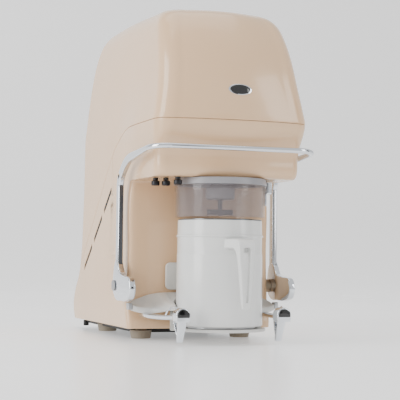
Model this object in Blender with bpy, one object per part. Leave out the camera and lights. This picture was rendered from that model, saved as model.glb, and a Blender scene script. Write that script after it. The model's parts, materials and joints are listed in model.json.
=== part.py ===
"""Countertop ice cream maker: a tall enamelled body with a head that overhangs a lift-out mug.

The mug stands on a cradle under the head.  Swinging the chrome bail forward turns a cross
shaft whose two cranks lift the cradle, so the mug rises into the clear guard and its dasher
meets the drive.

Lengths are metres.  +Z is up, the front is -Y and +X is the right-hand side seen from the
front.  Every shape is drawn in machine coordinates, whose origin is on the table under the
mug's axis, and the whole machine hangs from one empty that centres it front to back.
"""
import math

import bmesh
import bpy
from mathutils import Vector

mm = 0.001
GAP = 0.4 * mm            # clearance between pieces that seat on each other
RUN = 0.35 * mm           # radial clearance of a turning or sliding fit

# ---- driving sizes -------------------------------------------------------------------------
HALF_WIDTH = 118 * mm     # casing half-width at the main seam
TOP_Z = 530 * mm          # highest point of the hood
SEAM_Z = 339 * mm         # seam between hood and lower casing
HEAD_Z = 254 * mm         # underside of the overhanging head
CASING_Z = 18 * mm        # lower edge of the casings
HEAD_Y = -78 * mm         # foremost point of the head, at the seam
BACK_Y = 455 * mm         # rearmost point, on the flared skirt
WALL = 2.5 * mm           # casing wall

BASE_LOW = 12 * mm
FOOT_R = 18 * mm
FOOT_X = HALF_WIDTH - 30 * mm

MUG_R = 67 * mm           # mug's widest radius
MUG_LOW = 27 * mm         # underside of the mug, at rest
MUG_TOP = 191 * mm
COLUMN_Y = MUG_R + 21 * mm       # front of the column, which leaves room for the cradle's wall
TOE_Y = MUG_R + 13 * mm          # front of the casing's toe
FOOT_Y = (COLUMN_Y + 44 * mm, 329 * mm)
MUG_RING_Z = 165 * mm     # raised ring that stops under the guard
HANDLE_Y = -115 * mm      # front face of the mug's handle
LINER_R = 60.5 * mm
LINER_WALL = 1.6 * mm

GUARD_LOW = 194 * mm
GUARD_WALL = 2.2 * mm

PIVOT_Y = COLUMN_Y + 18 * mm        # cross shaft that the bail turns on
PIVOT_Z = 86 * mm
SHAFT_R = 7 * mm
CRANK_R = 34 * mm
SWING = math.radians(45)  # bail travel
LIFT = 2 * CRANK_R * math.sin(SWING / 2)
BAIL_X = HALF_WIDTH + 15 * mm    # centre plane of each arm
BAIL_Y = -72 * mm         # front tube
BAIL_Z = 297 * mm
BAIL_TUBE_R = 4.2 * mm
ARM_WIDE = 9 * mm
ARM_DEEP = 14 * mm
ARM_Y = PIVOT_Y - 7 * mm

MODULE = 1.8 * mm
GEAR_TEETH = 44
PINION_TEETH = 14
SPINDLE_R = 6 * mm
DECK_Z = 286 * mm
GEARBOX_Z = DECK_Z + 4 * mm + GAP
GEARBOX_TALL = 34 * mm
GEAR_R = MODULE * GEAR_TEETH / 2
PINION_R = MODULE * PINION_TEETH / 2
MOTOR_Y = GEAR_R + PINION_R

FAN_Y = 306 * mm
FAN_Z = 245 * mm
FAN_R = 56 * mm

MACHINE_Y = -(BACK_Y + HANDLE_Y) / 2   # centres the machine, mug handle included, on Y = 0


# ---- small tools ---------------------------------------------------------------------------
def lerp(a, b, t):
    return a + (b - a) * t


def ease(value, low, high):
    """0 below low, 1 above high, smooth between."""
    t = min(max((value - low) / (high - low), 0), 1)
    return t * t * (3 - 2 * t)


def along(stations, z):
    """Straight-line reading of a table of (z, values...) rows."""
    for (z0, *a), (z1, *b) in zip(stations, stations[1:]):
        if z <= z1:
            t = min(max((z - z0) / (z1 - z0), 0), 1)
            return [lerp(p, q, t) for p, q in zip(a, b)]
    return list(stations[-1][1:])


def rounded(points, radius, steps=5):
    """A path through the points with its inner corners turned into arcs."""
    points = [Vector(p) for p in points]
    radii = radius if isinstance(radius, (list, tuple)) else [radius] * (len(points) - 2)
    path = [points[0]]
    for before, corner, after, r in zip(points, points[1:], points[2:], radii):
        a = (before - corner).normalized()
        b = (after - corner).normalized()
        half = a.angle(b) / 2
        reach = r / math.tan(half)
        centre = corner + (a + b).normalized() * (r / math.sin(half))
        start = corner + a * reach - centre
        end = corner + b * reach - centre
        turn = start.angle(end)
        for i in range(steps + 1):
            t = i / steps
            path.append(centre + (start * math.sin((1 - t) * turn) + end * math.sin(t * turn))
                        / math.sin(turn))
    path.append(points[-1])
    return path


def skin(bm, rings, closed=False, caps=True):
    """Bridge rings of points with quads; caps closes the two end rings."""
    rows = [[bm.verts.new(p) for p in ring] for ring in rings]
    count = len(rows[0])
    pairs = list(zip(rows, rows[1:]))
    if closed:
        pairs.append((rows[-1], rows[0]))
    for low, high in pairs:
        for i in range(count):
            j = (i + 1) % count
            bm.faces.new((low[i], low[j], high[j], high[i]))
    if caps and not closed:
        bm.faces.new(list(reversed(rows[0])))
        bm.faces.new(rows[-1])
    return rows


def tidy(bm):
    bmesh.ops.remove_doubles(bm, verts=bm.verts, dist=1e-6)
    loose = [edge for edge in bm.edges if not edge.link_faces]
    bmesh.ops.delete(bm, geom=loose, context="EDGES")
    bmesh.ops.recalc_face_normals(bm, faces=bm.faces)
    return bm


def swept(path, section, side=None):
    """Sweep a section (points across, up) along a path; side fixes the across direction."""
    bm = bmesh.new()
    path = [Vector(p) for p in path]
    rings = []
    across = Vector(side) if side else None
    for i, point in enumerate(path):
        ahead = path[min(i + 1, len(path) - 1)] - point
        behind = point - path[max(i - 1, 0)]
        tangent = (ahead.normalized() + behind.normalized()).normalized()
        if across is None:
            across = tangent.orthogonal()
        across = (across - tangent * across.dot(tangent)).normalized()
        up = across.cross(tangent)
        shape = section(i / (len(path) - 1)) if callable(section) else section
        rings.append([point + across * u + up * v for u, v in shape])
    skin(bm, rings)
    return tidy(bm)


def disc(radius, sides, turn=0.0):
    return [(radius * math.cos(turn + math.tau * i / sides),
             radius * math.sin(turn + math.tau * i / sides)) for i in range(sides)]


def bar(width, height, corner):
    """Rectangle with its corners cut, as points (across, up)."""
    w, h = width / 2, height / 2
    return [(w, -h + corner), (w, h - corner), (w - corner, h), (-w + corner, h),
            (-w, h - corner), (-w, -h + corner), (-w + corner, -h), (w - corner, -h)]


def prism(outline, axis, low, high):
    """Extrude an outline along an axis.  The outline holds the other two axes in XYZ order."""
    def place(p, level):
        point = list(p)
        point.insert("XYZ".index(axis), level)
        return Vector(point)
    bm = bmesh.new()
    skin(bm, [[place(p, low) for p in outline], [place(p, high) for p in outline]])
    return tidy(bm)


def box(low, high):
    (x0, y0, z0), (x1, y1, z1) = low, high
    return prism([(x0, y0), (x1, y0), (x1, y1), (x0, y1)], "Z", z0, z1)


def turned(profile, sides=32, centre=(0, 0), axis="Z"):
    """Turn a closed (radius, height) profile about an axis through centre."""
    bm = bmesh.new()
    rings = []
    for i in range(sides):
        a = math.tau * i / sides
        ring = []
        for r, h in profile:
            u, v = centre[0] + r * math.cos(a), centre[1] + r * math.sin(a)
            point = [u, v]
            point.insert("XYZ".index(axis), h)
            ring.append(Vector(point))
        rings.append(ring)
    skin(bm, rings, closed=True)
    return tidy(bm)


def rod(radius, low, high, centre=(0, 0), axis="Z", sides=20):
    return turned([(0, low), (radius, low), (radius, high), (0, high)], sides, centre, axis)


def tube(inner, outer, low, high, centre=(0, 0), axis="Z", sides=32):
    return turned([(inner, low), (outer, low), (outer, high), (inner, high)], sides, centre, axis)


# ---- scene ---------------------------------------------------------------------------------
for old in list(bpy.data.objects):
    bpy.data.objects.remove(old)

MACHINE = bpy.data.objects.new("machine", None)
MACHINE.location = (0, MACHINE_Y, 0)
bpy.context.scene.collection.objects.link(MACHINE)

ORIGINS = {
    "root": (0, 0, 0),
    "bail": (0, PIVOT_Y, PIVOT_Z),
    "tray": (0, 0, MUG_LOW),
    "mug": (0, 0, MUG_LOW),
    "dasher": (0, 0, MUG_LOW),
    "drive": (0, 0, DECK_Z),
    "motor": (0, MOTOR_Y, DECK_Z),
    "fan": (0, FAN_Y, FAN_Z),
    "rocker": (0, 394 * mm, 163 * mm),
}
AXES = {}
for body, origin in ORIGINS.items():
    empty = bpy.data.objects.new("axis_" + body, None)
    empty.location = origin
    empty.parent = MACHINE
    bpy.context.scene.collection.objects.link(empty)
    AXES[body] = empty


def material(name, colour, roughness, metallic=0.0, alpha=1.0):
    mat = bpy.data.materials.new(name)
    mat.use_nodes = True
    shader = mat.node_tree.nodes["Principled BSDF"]
    shader.inputs["Base Color"].default_value = (*colour, 1)
    shader.inputs["Roughness"].default_value = roughness
    shader.inputs["Metallic"].default_value = metallic
    shader.inputs["Alpha"].default_value = alpha
    return mat


ENAMEL = material("cream_enamel", (0.72, 0.52, 0.36), 0.18)
CHROME = material("chrome", (0.82, 0.82, 0.84), 0.08, 1.0)
STEEL = material("steel", (0.62, 0.62, 0.62), 0.3, 1.0)
DARK = material("dark_metal", (0.08, 0.08, 0.09), 0.35, 0.8)
CASTING = material("pale_casting", (0.74, 0.74, 0.72), 0.35)
WHITE = material("white_plastic", (0.74, 0.76, 0.75), 0.25)
BLACK = material("black_plastic", (0.02, 0.02, 0.02), 0.5)
TAUPE = material("taupe_rubber", (0.33, 0.28, 0.22), 0.6)
CLEAR = material("clear_plastic", (0.75, 0.75, 0.74), 0.08, 0.0, 0.35)
GREY = material("grey_plastic", (0.42, 0.42, 0.42), 0.4)
COPPER = material("copper", (0.72, 0.34, 0.2), 0.3, 1.0)
BRONZE = material("bronze", (0.55, 0.38, 0.18), 0.4, 1.0)
BOARD = material("circuit_board", (0.03, 0.2, 0.08), 0.5)


def add(name, bm, body="root", finish=None, cutter=False):
    """Turn a mesh drawn in machine coordinates into an object that hangs on its body's axis."""
    bmesh.ops.translate(bm, verts=bm.verts, vec=-Vector(ORIGINS[body]))
    mesh = bpy.data.meshes.new(name)
    bm.to_mesh(mesh)
    bm.free()
    obj = bpy.data.objects.new(name, mesh)
    obj.parent = AXES[body]
    bpy.context.scene.collection.objects.link(obj)
    if cutter:
        obj.hide_render = True
        obj.display_type = "WIRE"
    else:
        mesh.materials.append(finish)
        mesh.shade_smooth()
        mesh.set_sharp_from_angle(angle=math.radians(35))
    return obj


def shape(obj, operation, *meshes):
    """Apply a boolean with each mesh, kept live as a modifier on a hidden guide."""
    body = next(name for name, empty in AXES.items() if empty == obj.parent)
    for bm in meshes:
        guide = add("guide_%s_%d" % (obj.name, len(obj.modifiers)), bm, body, cutter=True)
        modifier = obj.modifiers.new(guide.name, "BOOLEAN")
        modifier.operation = operation
        modifier.object = guide
    return obj


def cut(obj, *meshes):
    return shape(obj, "DIFFERENCE", *meshes)


def weld(obj, *meshes):
    return shape(obj, "UNION", *meshes)


def keep(obj, *meshes):
    return shape(obj, "INTERSECT", *meshes)


# ---- casing --------------------------------------------------------------------------------
SIDE_Y = (COLUMN_Y + 18 * mm, COLUMN_Y + 50 * mm, COLUMN_Y + 82 * mm)
HEAD_BOW = 10 * mm
COLUMN_BOW = 3 * mm
BACK_R = 22 * mm
TOP_FALL = 8 * mm         # how much lower the hood's front edge is than its crown

def rise(millimetres):
    """Height on the hood, given for a hood 191 mm tall above the seam."""
    return lerp(SEAM_Z, TOP_Z, millimetres / 191)


# height, half-width, back
REAR = [
    (CASING_Z, HALF_WIDTH + 3 * mm, BACK_Y - 9 * mm),
    (35 * mm, HALF_WIDTH + 4 * mm, BACK_Y - 2 * mm),
    (52 * mm, HALF_WIDTH + 3.6 * mm, BACK_Y),
    (72 * mm, HALF_WIDTH + 2.6 * mm, BACK_Y - 9 * mm),
    (92 * mm, HALF_WIDTH + 1.6 * mm, BACK_Y - 25 * mm),
    (116 * mm, HALF_WIDTH + 1 * mm, BACK_Y - 37 * mm),
    (160 * mm, HALF_WIDTH + 0.5 * mm, BACK_Y - 46 * mm),
    (HEAD_Z, HALF_WIDTH, BACK_Y - 52 * mm),
    (SEAM_Z, HALF_WIDTH, BACK_Y - 55 * mm),
    (rise(61), HALF_WIDTH - 4.5 * mm, BACK_Y - 64 * mm),
    (rise(107), HALF_WIDTH - 8 * mm, BACK_Y - 76 * mm),
    (rise(141), HALF_WIDTH - 12 * mm, BACK_Y - 90 * mm),
    (rise(166), HALF_WIDTH - 17.5 * mm, BACK_Y - 107 * mm),
    (rise(179), HALF_WIDTH - 25 * mm, BACK_Y - 123 * mm),
    (rise(187), HALF_WIDTH - 35 * mm, BACK_Y - 141 * mm),
    (TOP_Z, HALF_WIDTH - 56 * mm, BACK_Y - 171 * mm),
]
# height, front, inward pinch of the flanks near the front, corner radius
HEAD_FRONT = [
    (HEAD_Z, HEAD_Y + 33 * mm, 2.5 * mm, 18 * mm),
    (HEAD_Z + 4 * mm, HEAD_Y + 27 * mm, 1 * mm, 18 * mm),
    (HEAD_Z + 12 * mm, HEAD_Y + 25 * mm, 0, 18 * mm),
    (286 * mm, HEAD_Y + 24 * mm, 0, 18 * mm),
    (300 * mm, HEAD_Y + 20 * mm, -1 * mm, 20 * mm),
    (314 * mm, HEAD_Y + 11 * mm, -3 * mm, 24 * mm),
    (327 * mm, HEAD_Y + 3 * mm, -5 * mm, 28 * mm),
    (SEAM_Z, HEAD_Y, -5.5 * mm, 28 * mm),
    (rise(21), HEAD_Y + 2 * mm, -4 * mm, 28 * mm),
    (rise(61), HEAD_Y + 10 * mm, -1 * mm, 28 * mm),
    (rise(107), HEAD_Y + 24 * mm, 0, 28 * mm),
    (rise(141), HEAD_Y + 40 * mm, 0, 28 * mm),
    (rise(166), HEAD_Y + 55 * mm, 0, 28 * mm),
    (rise(179), HEAD_Y + 67 * mm, 0, 28 * mm),
    (rise(187), HEAD_Y + 82 * mm, 0, 28 * mm),
    (TOP_Z, HEAD_Y + 112 * mm, 0, 28 * mm),
]
# height, front, inward pinch of the flanks near the front
COLUMN_FRONT = [
    (CASING_Z, TOE_Y, -1.5 * mm),
    (30 * mm, TOE_Y, -1.5 * mm),
    (44 * mm, COLUMN_Y - 2 * mm, -1.5 * mm),
    (52 * mm, COLUMN_Y - 0.6 * mm, -1.5 * mm),
    (60 * mm, COLUMN_Y, -1.5 * mm),
    (140 * mm, COLUMN_Y, -1.5 * mm),
    (236 * mm, COLUMN_Y, -1.5 * mm),
    (HEAD_Z, COLUMN_Y, 2.5 * mm),
]
COLUMN_R = 8 * mm         # corner between the column's front and its flanks


def outline(half, front, back, pinch, bow, corner, inset):
    """One level of the casing seen from above, starting at the middle of the front."""
    half, front, back = half - inset, front + inset, back - inset
    corner, rear = corner - inset, BACK_R - inset
    flat = half - corner
    right = [(flat * i / 4, front + bow * (i / 4) ** 2) for i in range(5)]
    for i in range(1, 4):
        a = math.pi / 2 * i / 4
        right.append((flat + corner * math.sin(a), front + bow + corner * (1 - math.cos(a))))
    right.append((half, min(front + bow + corner, SIDE_Y[0])))
    right += [(half, y) for y in SIDE_Y]
    for i in range(5):
        a = math.pi / 2 * i / 4
        right.append((half - rear * (1 - math.cos(a)), back - rear * (1 - math.sin(a))))
    right.append(((half - rear) / 2, back))
    points = right + [(0, back)] + [(-x, y) for x, y in reversed(right[1:])]
    slim = [1 - pinch / half * (1 - ease(y, 40 * mm, SIDE_Y[2])) for _, y in points]
    return [(x * s, y) for (x, y), s in zip(points, slim)]


def level(z, half, front, back, pinch, bow, corner, inset):
    """Rings are drawn level, then the hood's crown is tipped down towards the front."""
    high = z - inset * ease(z, rise(141), TOP_Z)
    points = []
    for x, y in outline(half, front, back, pinch, bow, corner, inset):
        fall = TOP_FALL * (1 - ease(y, 17 * mm, 230 * mm))
        tip = min(max((z - SEAM_Z) / (TOP_Z - SEAM_Z), 0), 1)
        points.append(Vector((x, y, high - fall * tip)))
    return points


def casing_rings(inset):
    """The closed outer or inner surface of the whole casing, from its lower edge to its crown."""
    rings = []
    for z, front, pinch in COLUMN_FRONT:
        half, back = along(REAR, z)
        lift = inset if z == HEAD_Z else 0
        ring = level(z, half, front, back, pinch, COLUMN_BOW, COLUMN_R, inset)
        rings.append([p + Vector((0, 0, lift)) for p in ring])
        if z == 60 * mm:
            for between in (72 * mm, 92 * mm, 116 * mm):
                half, back = along(REAR, between)
                pinch = along(COLUMN_FRONT, between)[1]
                rings.append(level(between, half, front, back, pinch, COLUMN_BOW, COLUMN_R, inset))
    for z, front, pinch, corner in HEAD_FRONT:
        half, back = along(REAR, z)
        lift = inset * (1 - ease(z, HEAD_Z, 300 * mm))
        ring = level(z, half, front, back, pinch, HEAD_BOW, corner, inset)
        rings.append([p + Vector((0, 0, lift)) for p in ring])
    crown = level(TOP_Z + 0.4 * mm, HALF_WIDTH - 96 * mm, HEAD_Y + 168 * mm, BACK_Y - 219 * mm, 0, 0,
                  12 * mm, 0)
    rings.append([p - Vector((0, 0, inset)) for p in crown])
    return rings


def casing():
    """The whole casing as one thin shell, open underneath, before it is cut into covers."""
    bm = bmesh.new()
    outer = skin(bm, casing_rings(0), caps=False)
    inner = skin(bm, casing_rings(WALL), caps=False)
    bm.faces.new(outer[-1])
    bm.faces.new(inner[-1])
    count = len(outer[0])
    for i in range(count):
        j = (i + 1) % count
        bm.faces.new((outer[0][i], outer[0][j], inner[0][j], inner[0][i]))
    return tidy(bm)


# The seam runs level round the head, then falls straight to the back of the skirt.
SEAM_CORNER = (COLUMN_Y + 71 * mm, SEAM_Z)
SEAM_SLOPE = -0.93
SEAM_END_Y = BACK_Y + 65 * mm
SEAM = [(p.y, p.z) for p in rounded(
    [(0, -130 * mm, SEAM_Z), (0, *SEAM_CORNER),
     (0, SEAM_END_Y, SEAM_Z + SEAM_SLOPE * (SEAM_END_Y - SEAM_CORNER[0]))], 198 * mm, 8)]
SPLIT_LOW_Y = COLUMN_Y + 58 * mm    # the front casing ends along this leaning line
SPLIT_HIGH_Y = COLUMN_Y + 110 * mm
REACH = HALF_WIDTH + 82 * mm     # cutters run well past the casing
TALL = TOP_Z + 70 * mm


def above_seam():
    top = [(SEAM_END_Y, TALL), (-130 * mm, TALL)]
    return prism(SEAM + top, "X", -REACH, REACH)


def below_seam():
    drop = 0.8 * mm
    edge = [(y, z - drop) for y, z in SEAM]
    return prism([(-130 * mm, -20 * mm), (SEAM_END_Y, -20 * mm)] + edge[::-1], "X", -REACH, REACH)


def split(front, shift):
    edge = [(SPLIT_HIGH_Y + 14 * mm + shift, 400 * mm), (SPLIT_HIGH_Y + shift, 288 * mm),
            (SPLIT_LOW_Y + shift, -20 * mm)]
    far = -150 * mm if front else SEAM_END_Y + 50 * mm
    return prism(edge + [(far, -20 * mm), (far, 400 * mm)], "X", -REACH, REACH)


GRILLE_X = 80 * mm
GRILLE_Z = (146 * mm, 338 * mm)
PANEL_Y = (BACK_Y - 61 * mm, BACK_Y - 58.6 * mm)
SPINDLE_HOLE_R = 38 * mm
WINDOW_X = 24 * mm        # slot in the column for the cradle's lug
LUG_X = 22 * mm
LUG_Z = (86 * mm, 112 * mm)
BUSH_R = SHAFT_R + 4 * mm

top_cover = keep(add("top_cover", casing(), finish=ENAMEL), above_seam())
cut(top_cover, box((-GRILLE_X, BACK_Y - 85 * mm, GRILLE_Z[0]), (GRILLE_X, BACK_Y - 25 * mm, GRILLE_Z[1])))

front_casing = keep(add("front_casing", casing(), finish=ENAMEL), below_seam(), split(True, 0))
cut(front_casing,
    rod(SPINDLE_HOLE_R, HEAD_Z - 10 * mm, HEAD_Z + 10 * mm, sides=30),
    box((-WINDOW_X, COLUMN_Y - 5 * mm, LUG_Z[0] - 4 * mm),
        (WINDOW_X, COLUMN_Y + 9 * mm, LUG_Z[1] + LIFT + 4 * mm)),
    rod(BUSH_R + GAP, -REACH, REACH, (PIVOT_Y, PIVOT_Z), "X"))

VENT_LINE = ((SPLIT_HIGH_Y - 1 * mm, 253 * mm), (BACK_Y - 85 * mm, 115 * mm))
VENT_COUNT = 3
VENT_SHARE = 0.8          # share of each pitch that is open
VENT_TALL = 8 * mm


def vent(number):
    (y0, z0), (y1, z1) = VENT_LINE
    pitch = 1 / (VENT_COUNT - 1 + VENT_SHARE)
    a, b = number * pitch, (number + VENT_SHARE) * pitch
    low = (lerp(y0, y1, a), lerp(z0, z1, a))
    high = (lerp(y0, y1, b), lerp(z0, z1, b))
    return [low, high, (high[0], high[1] - VENT_TALL), (low[0], low[1] - VENT_TALL)]


for side, name in ((-1, "left_side_panel"), (1, "right_side_panel")):
    near, far = sorted((side * 0.3 * mm, side * REACH))
    panel = keep(add(name, casing(), finish=ENAMEL), below_seam(), split(False, 0.7 * mm),
                 box((near, -150 * mm, -20 * mm), (far, BACK_Y + 145 * mm, 400 * mm)))
    inner, outer = sorted((side * (HALF_WIDTH - 28 * mm), side * REACH))
    cut(panel, *[prism(vent(i), "X", inner, outer) for i in range(VENT_COUNT)])


def rear_panel():
    """Flat service plate behind the opening in the hood, with louvre slots and the inlet holes."""
    y0, y1 = PANEL_Y
    over = 5 * mm
    plate = add("rear_panel", box((-GRILLE_X - over, y0, GRILLE_Z[0] - 7 * mm),
                                  (GRILLE_X + over, y1, GRILLE_Z[1] + over)), finish=GREY)
    slots = 8
    for i in range(slots):
        z = lerp(196 * mm, 322 * mm, i / (slots - 1))
        cut(plate, box((-68 * mm, y0 - 5 * mm, z), (68 * mm, y1 + 5 * mm, z + 6 * mm)))
    cut(plate, box((-62 * mm, y0 - 5 * mm, 150 * mm), (-30 * mm, y1 + 5 * mm, 176 * mm)))
    cut(plate, box((-10 * mm, y0 - 5 * mm, 151 * mm), (12 * mm, y1 + 5 * mm, 175 * mm)))


rear_panel()


def base_plate():
    """Black base that the casings stand on."""
    inset = 6 * mm
    half, back = along(REAR, CASING_Z)
    plan = outline(half, TOE_Y, back, 0, COLUMN_BOW, COLUMN_R, inset)
    base = add("base_plate", prism(plan, "Z", BASE_LOW, CASING_Z - GAP), finish=BLACK)
    studs = [rod(5 * mm, 4 * mm, BASE_LOW + 2 * mm, (side * (HALF_WIDTH - 18 * mm), BACK_Y - 31 * mm),
                 sides=12) for side in (-1, 1)]
    weld(base, *studs)


base_plate()

for y, end in zip(FOOT_Y, ("front", "rear")):
    for x, side in ((-FOOT_X, "left"), (FOOT_X, "right")):
        foot = [(0, 0), (FOOT_R - 1 * mm, 0), (FOOT_R, 1 * mm), (FOOT_R - 1.5 * mm, BASE_LOW - GAP),
                (0, BASE_LOW - GAP)]
        add("foot_%s_%s" % (end, side), turned(foot, 20, (x, y)), finish=TAUPE)

# ---- frame, motor and gears in the head ----------------------------------------------------
FRAME_Y = COLUMN_Y + 70 * mm
DECK_TALL = 4 * mm
BEARING_R = 18 * mm
FLOOR_Z = CASING_Z + GAP


def main_frame():
    """Folded plate: an upright behind the column and a deck that carries the gearbox."""
    upright = box((-98 * mm, FRAME_Y, FLOOR_Z), (98 * mm, FRAME_Y + 3 * mm, DECK_Z + DECK_TALL))
    frame = add("main_frame", upright, finish=STEEL)
    weld(frame, box((-84 * mm, -34 * mm, DECK_Z), (84 * mm, FRAME_Y + 2 * mm, DECK_Z + DECK_TALL)))
    cut(frame,
        box((-70 * mm, FRAME_Y - 5 * mm, 30 * mm), (70 * mm, FRAME_Y + 8 * mm, 150 * mm)),
        box((-50 * mm, FRAME_Y - 5 * mm, 175 * mm), (50 * mm, FRAME_Y + 8 * mm, 260 * mm)),
        rod(BEARING_R + GAP, DECK_Z - 5 * mm, DECK_Z + 10 * mm, sides=32))


def stadium(r0, r1, y1, steps=12):
    """Outline round a circle r0 at the origin and a circle r1 at (0, y1)."""
    lean = math.asin((r0 - r1) / y1)
    points = []
    for i in range(steps + 1):
        a = math.pi - lean + (math.pi + 2 * lean) * i / steps
        points.append((r0 * math.cos(a), r0 * math.sin(a)))
    for i in range(steps + 1):
        a = lean + (math.pi - 2 * lean) * i / steps
        points.append((r1 * math.cos(a), y1 + r1 * math.sin(a)))
    return points


GEARBOX_R = GEAR_R + MODULE + 2 * mm
GEARBOX_WALL = 3 * mm


def gearbox():
    small = PINION_R + MODULE + 2 * mm
    high = GEARBOX_Z + GEARBOX_TALL
    outer = stadium(GEARBOX_R + GEARBOX_WALL, small + GEARBOX_WALL, MOTOR_Y)
    housing = add("gearbox_housing", prism(outer, "Z", GEARBOX_Z, high), finish=CASTING)
    cut(housing,
        prism(stadium(GEARBOX_R, small, MOTOR_Y), "Z", GEARBOX_Z + 3 * mm, high + 5 * mm),
        rod(BEARING_R + GAP, GEARBOX_Z - 5 * mm, GEARBOX_Z + 8 * mm, sides=32))
    cover = add("gearbox_cover", prism(outer, "Z", high + GAP, high + 3 * mm), finish=CASTING)
    cut(cover,
        rod(PINION_R + MODULE + 1 * mm, high - 5 * mm, high + 8 * mm, (0, MOTOR_Y), sides=24),
        rod(SPINDLE_R + 1 * mm, high - 5 * mm, high + 8 * mm))
    return high + 3 * mm


def gear(teeth, low, high, centre, turn):
    """Spur gear with straight-flanked teeth, a little thin so that the pair runs free."""
    radius = MODULE * teeth / 2
    pitch = math.tau / teeth
    points = []
    for i in range(teeth):
        a = turn + pitch * i
        for r, share in ((radius - 1.2 * MODULE, -0.31), (radius + 0.85 * MODULE, -0.11),
                         (radius + 0.85 * MODULE, 0.11), (radius - 1.2 * MODULE, 0.31)):
            points.append((r * math.cos(a + share * pitch) + centre[0],
                           r * math.sin(a + share * pitch) + centre[1]))
    return prism(points, "Z", low, high)


main_frame()
MOTOR_Z = gearbox() + GAP
GEAR_Z = (GEARBOX_Z + 8 * mm, GEARBOX_Z + 20 * mm)

cut(add("drive_gear", gear(GEAR_TEETH, *GEAR_Z, (0, 0), math.pi / 2), "drive", WHITE),
    rod(SPINDLE_R + RUN, GEAR_Z[0] - 2 * mm, GEAR_Z[1] + 2 * mm))
# a gap of the pinion faces the gear's tooth on the line between the two centres
pinion = gear(PINION_TEETH, GEAR_Z[0] - 1 * mm, GEAR_Z[1] + 1 * mm, (0, MOTOR_Y),
              math.pi / PINION_TEETH - math.pi / 2)
weld(add("motor_pinion", pinion, "motor", STEEL),
     rod(4 * mm, GEAR_Z[1], MOTOR_Z - GAP, (0, MOTOR_Y)))

BOSS_Z = (221 * mm, 249 * mm)
BOSS_R = 22.5 * mm
DOG_Z = (198.4 * mm, 206.6 * mm)
DOG_X = 21 * mm
DOG_Y = 4 * mm
TIP_Z = 197 * mm


def spindle():
    """Stepped drive shaft with the cross bar that turns the dasher."""
    slim = 3.6 * mm
    profile = [(0, TIP_Z), (slim - 1 * mm, TIP_Z), (slim, TIP_Z + 1 * mm), (slim, BOSS_Z[0]),
               (SPINDLE_R, BOSS_Z[0]), (SPINDLE_R, GEAR_Z[1] + 6 * mm), (0, GEAR_Z[1] + 6 * mm)]
    shaft = add("drive_spindle", turned(profile, 20), "drive", DARK)
    weld(shaft, box((-DOG_X, -DOG_Y, DOG_Z[0]), (DOG_X, DOG_Y, DOG_Z[1])))
    boss = [(SPINDLE_R + RUN, BOSS_Z[0] + 1 * mm), (BOSS_R - 2 * mm, BOSS_Z[0] + 1 * mm),
            (BOSS_R, BOSS_Z[0] + 3 * mm), (BOSS_R, 240 * mm), (14 * mm, 244 * mm),
            (14 * mm, BOSS_Z[1]), (SPINDLE_R + RUN, BOSS_Z[1])]
    add("drive_boss", turned(boss, 20), "drive", GREY)
    add("spindle_bearing", tube(SPINDLE_R + RUN, BEARING_R, 266 * mm, GEARBOX_Z + 2 * mm, sides=20),
        finish=STEEL)
    seal = [(SPINDLE_R + RUN, 258 * mm), (30 * mm, 258 * mm), (30 * mm, 261 * mm),
            (16 * mm, 265.5 * mm), (SPINDLE_R + RUN, 265.5 * mm)]
    add("shaft_seal", turned(seal, 20), finish=BLACK)


spindle()


def motor():
    """Upright drive motor with a stepped end bell."""
    r = 42 * mm
    z = MOTOR_Z
    profile = [(0, z), (30 * mm, z), (30 * mm, z + 5 * mm), (r, z + 7 * mm), (r, z + 92 * mm),
               (38 * mm, z + 96 * mm), (38 * mm, z + 106 * mm), (20 * mm, z + 111 * mm),
               (0, z + 111 * mm)]
    add("drive_motor", turned(profile, 20, (0, MOTOR_Y)), finish=STEEL)


motor()


def control_board():
    y = 152 * mm
    board = add("control_board", box((-62 * mm, y, 345 * mm), (62 * mm, y + 2 * mm, 450 * mm)),
                finish=BOARD)
    weld(board,
         box((-50 * mm, y + 1 * mm, 360 * mm), (-18 * mm, y + 24 * mm, 392 * mm)),
         box((-4 * mm, y + 1 * mm, 362 * mm), (18 * mm, y + 16 * mm, 400 * mm)),
         box((26 * mm, y + 1 * mm, 405 * mm), (54 * mm, y + 12 * mm, 432 * mm)))


control_board()

# ---- guard under the head ------------------------------------------------------------------
GUARD_R = MUG_R + 0.4 * mm        # inner radius: the mug's neck rises inside it
GUARD_HIGH = 243 * mm


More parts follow.
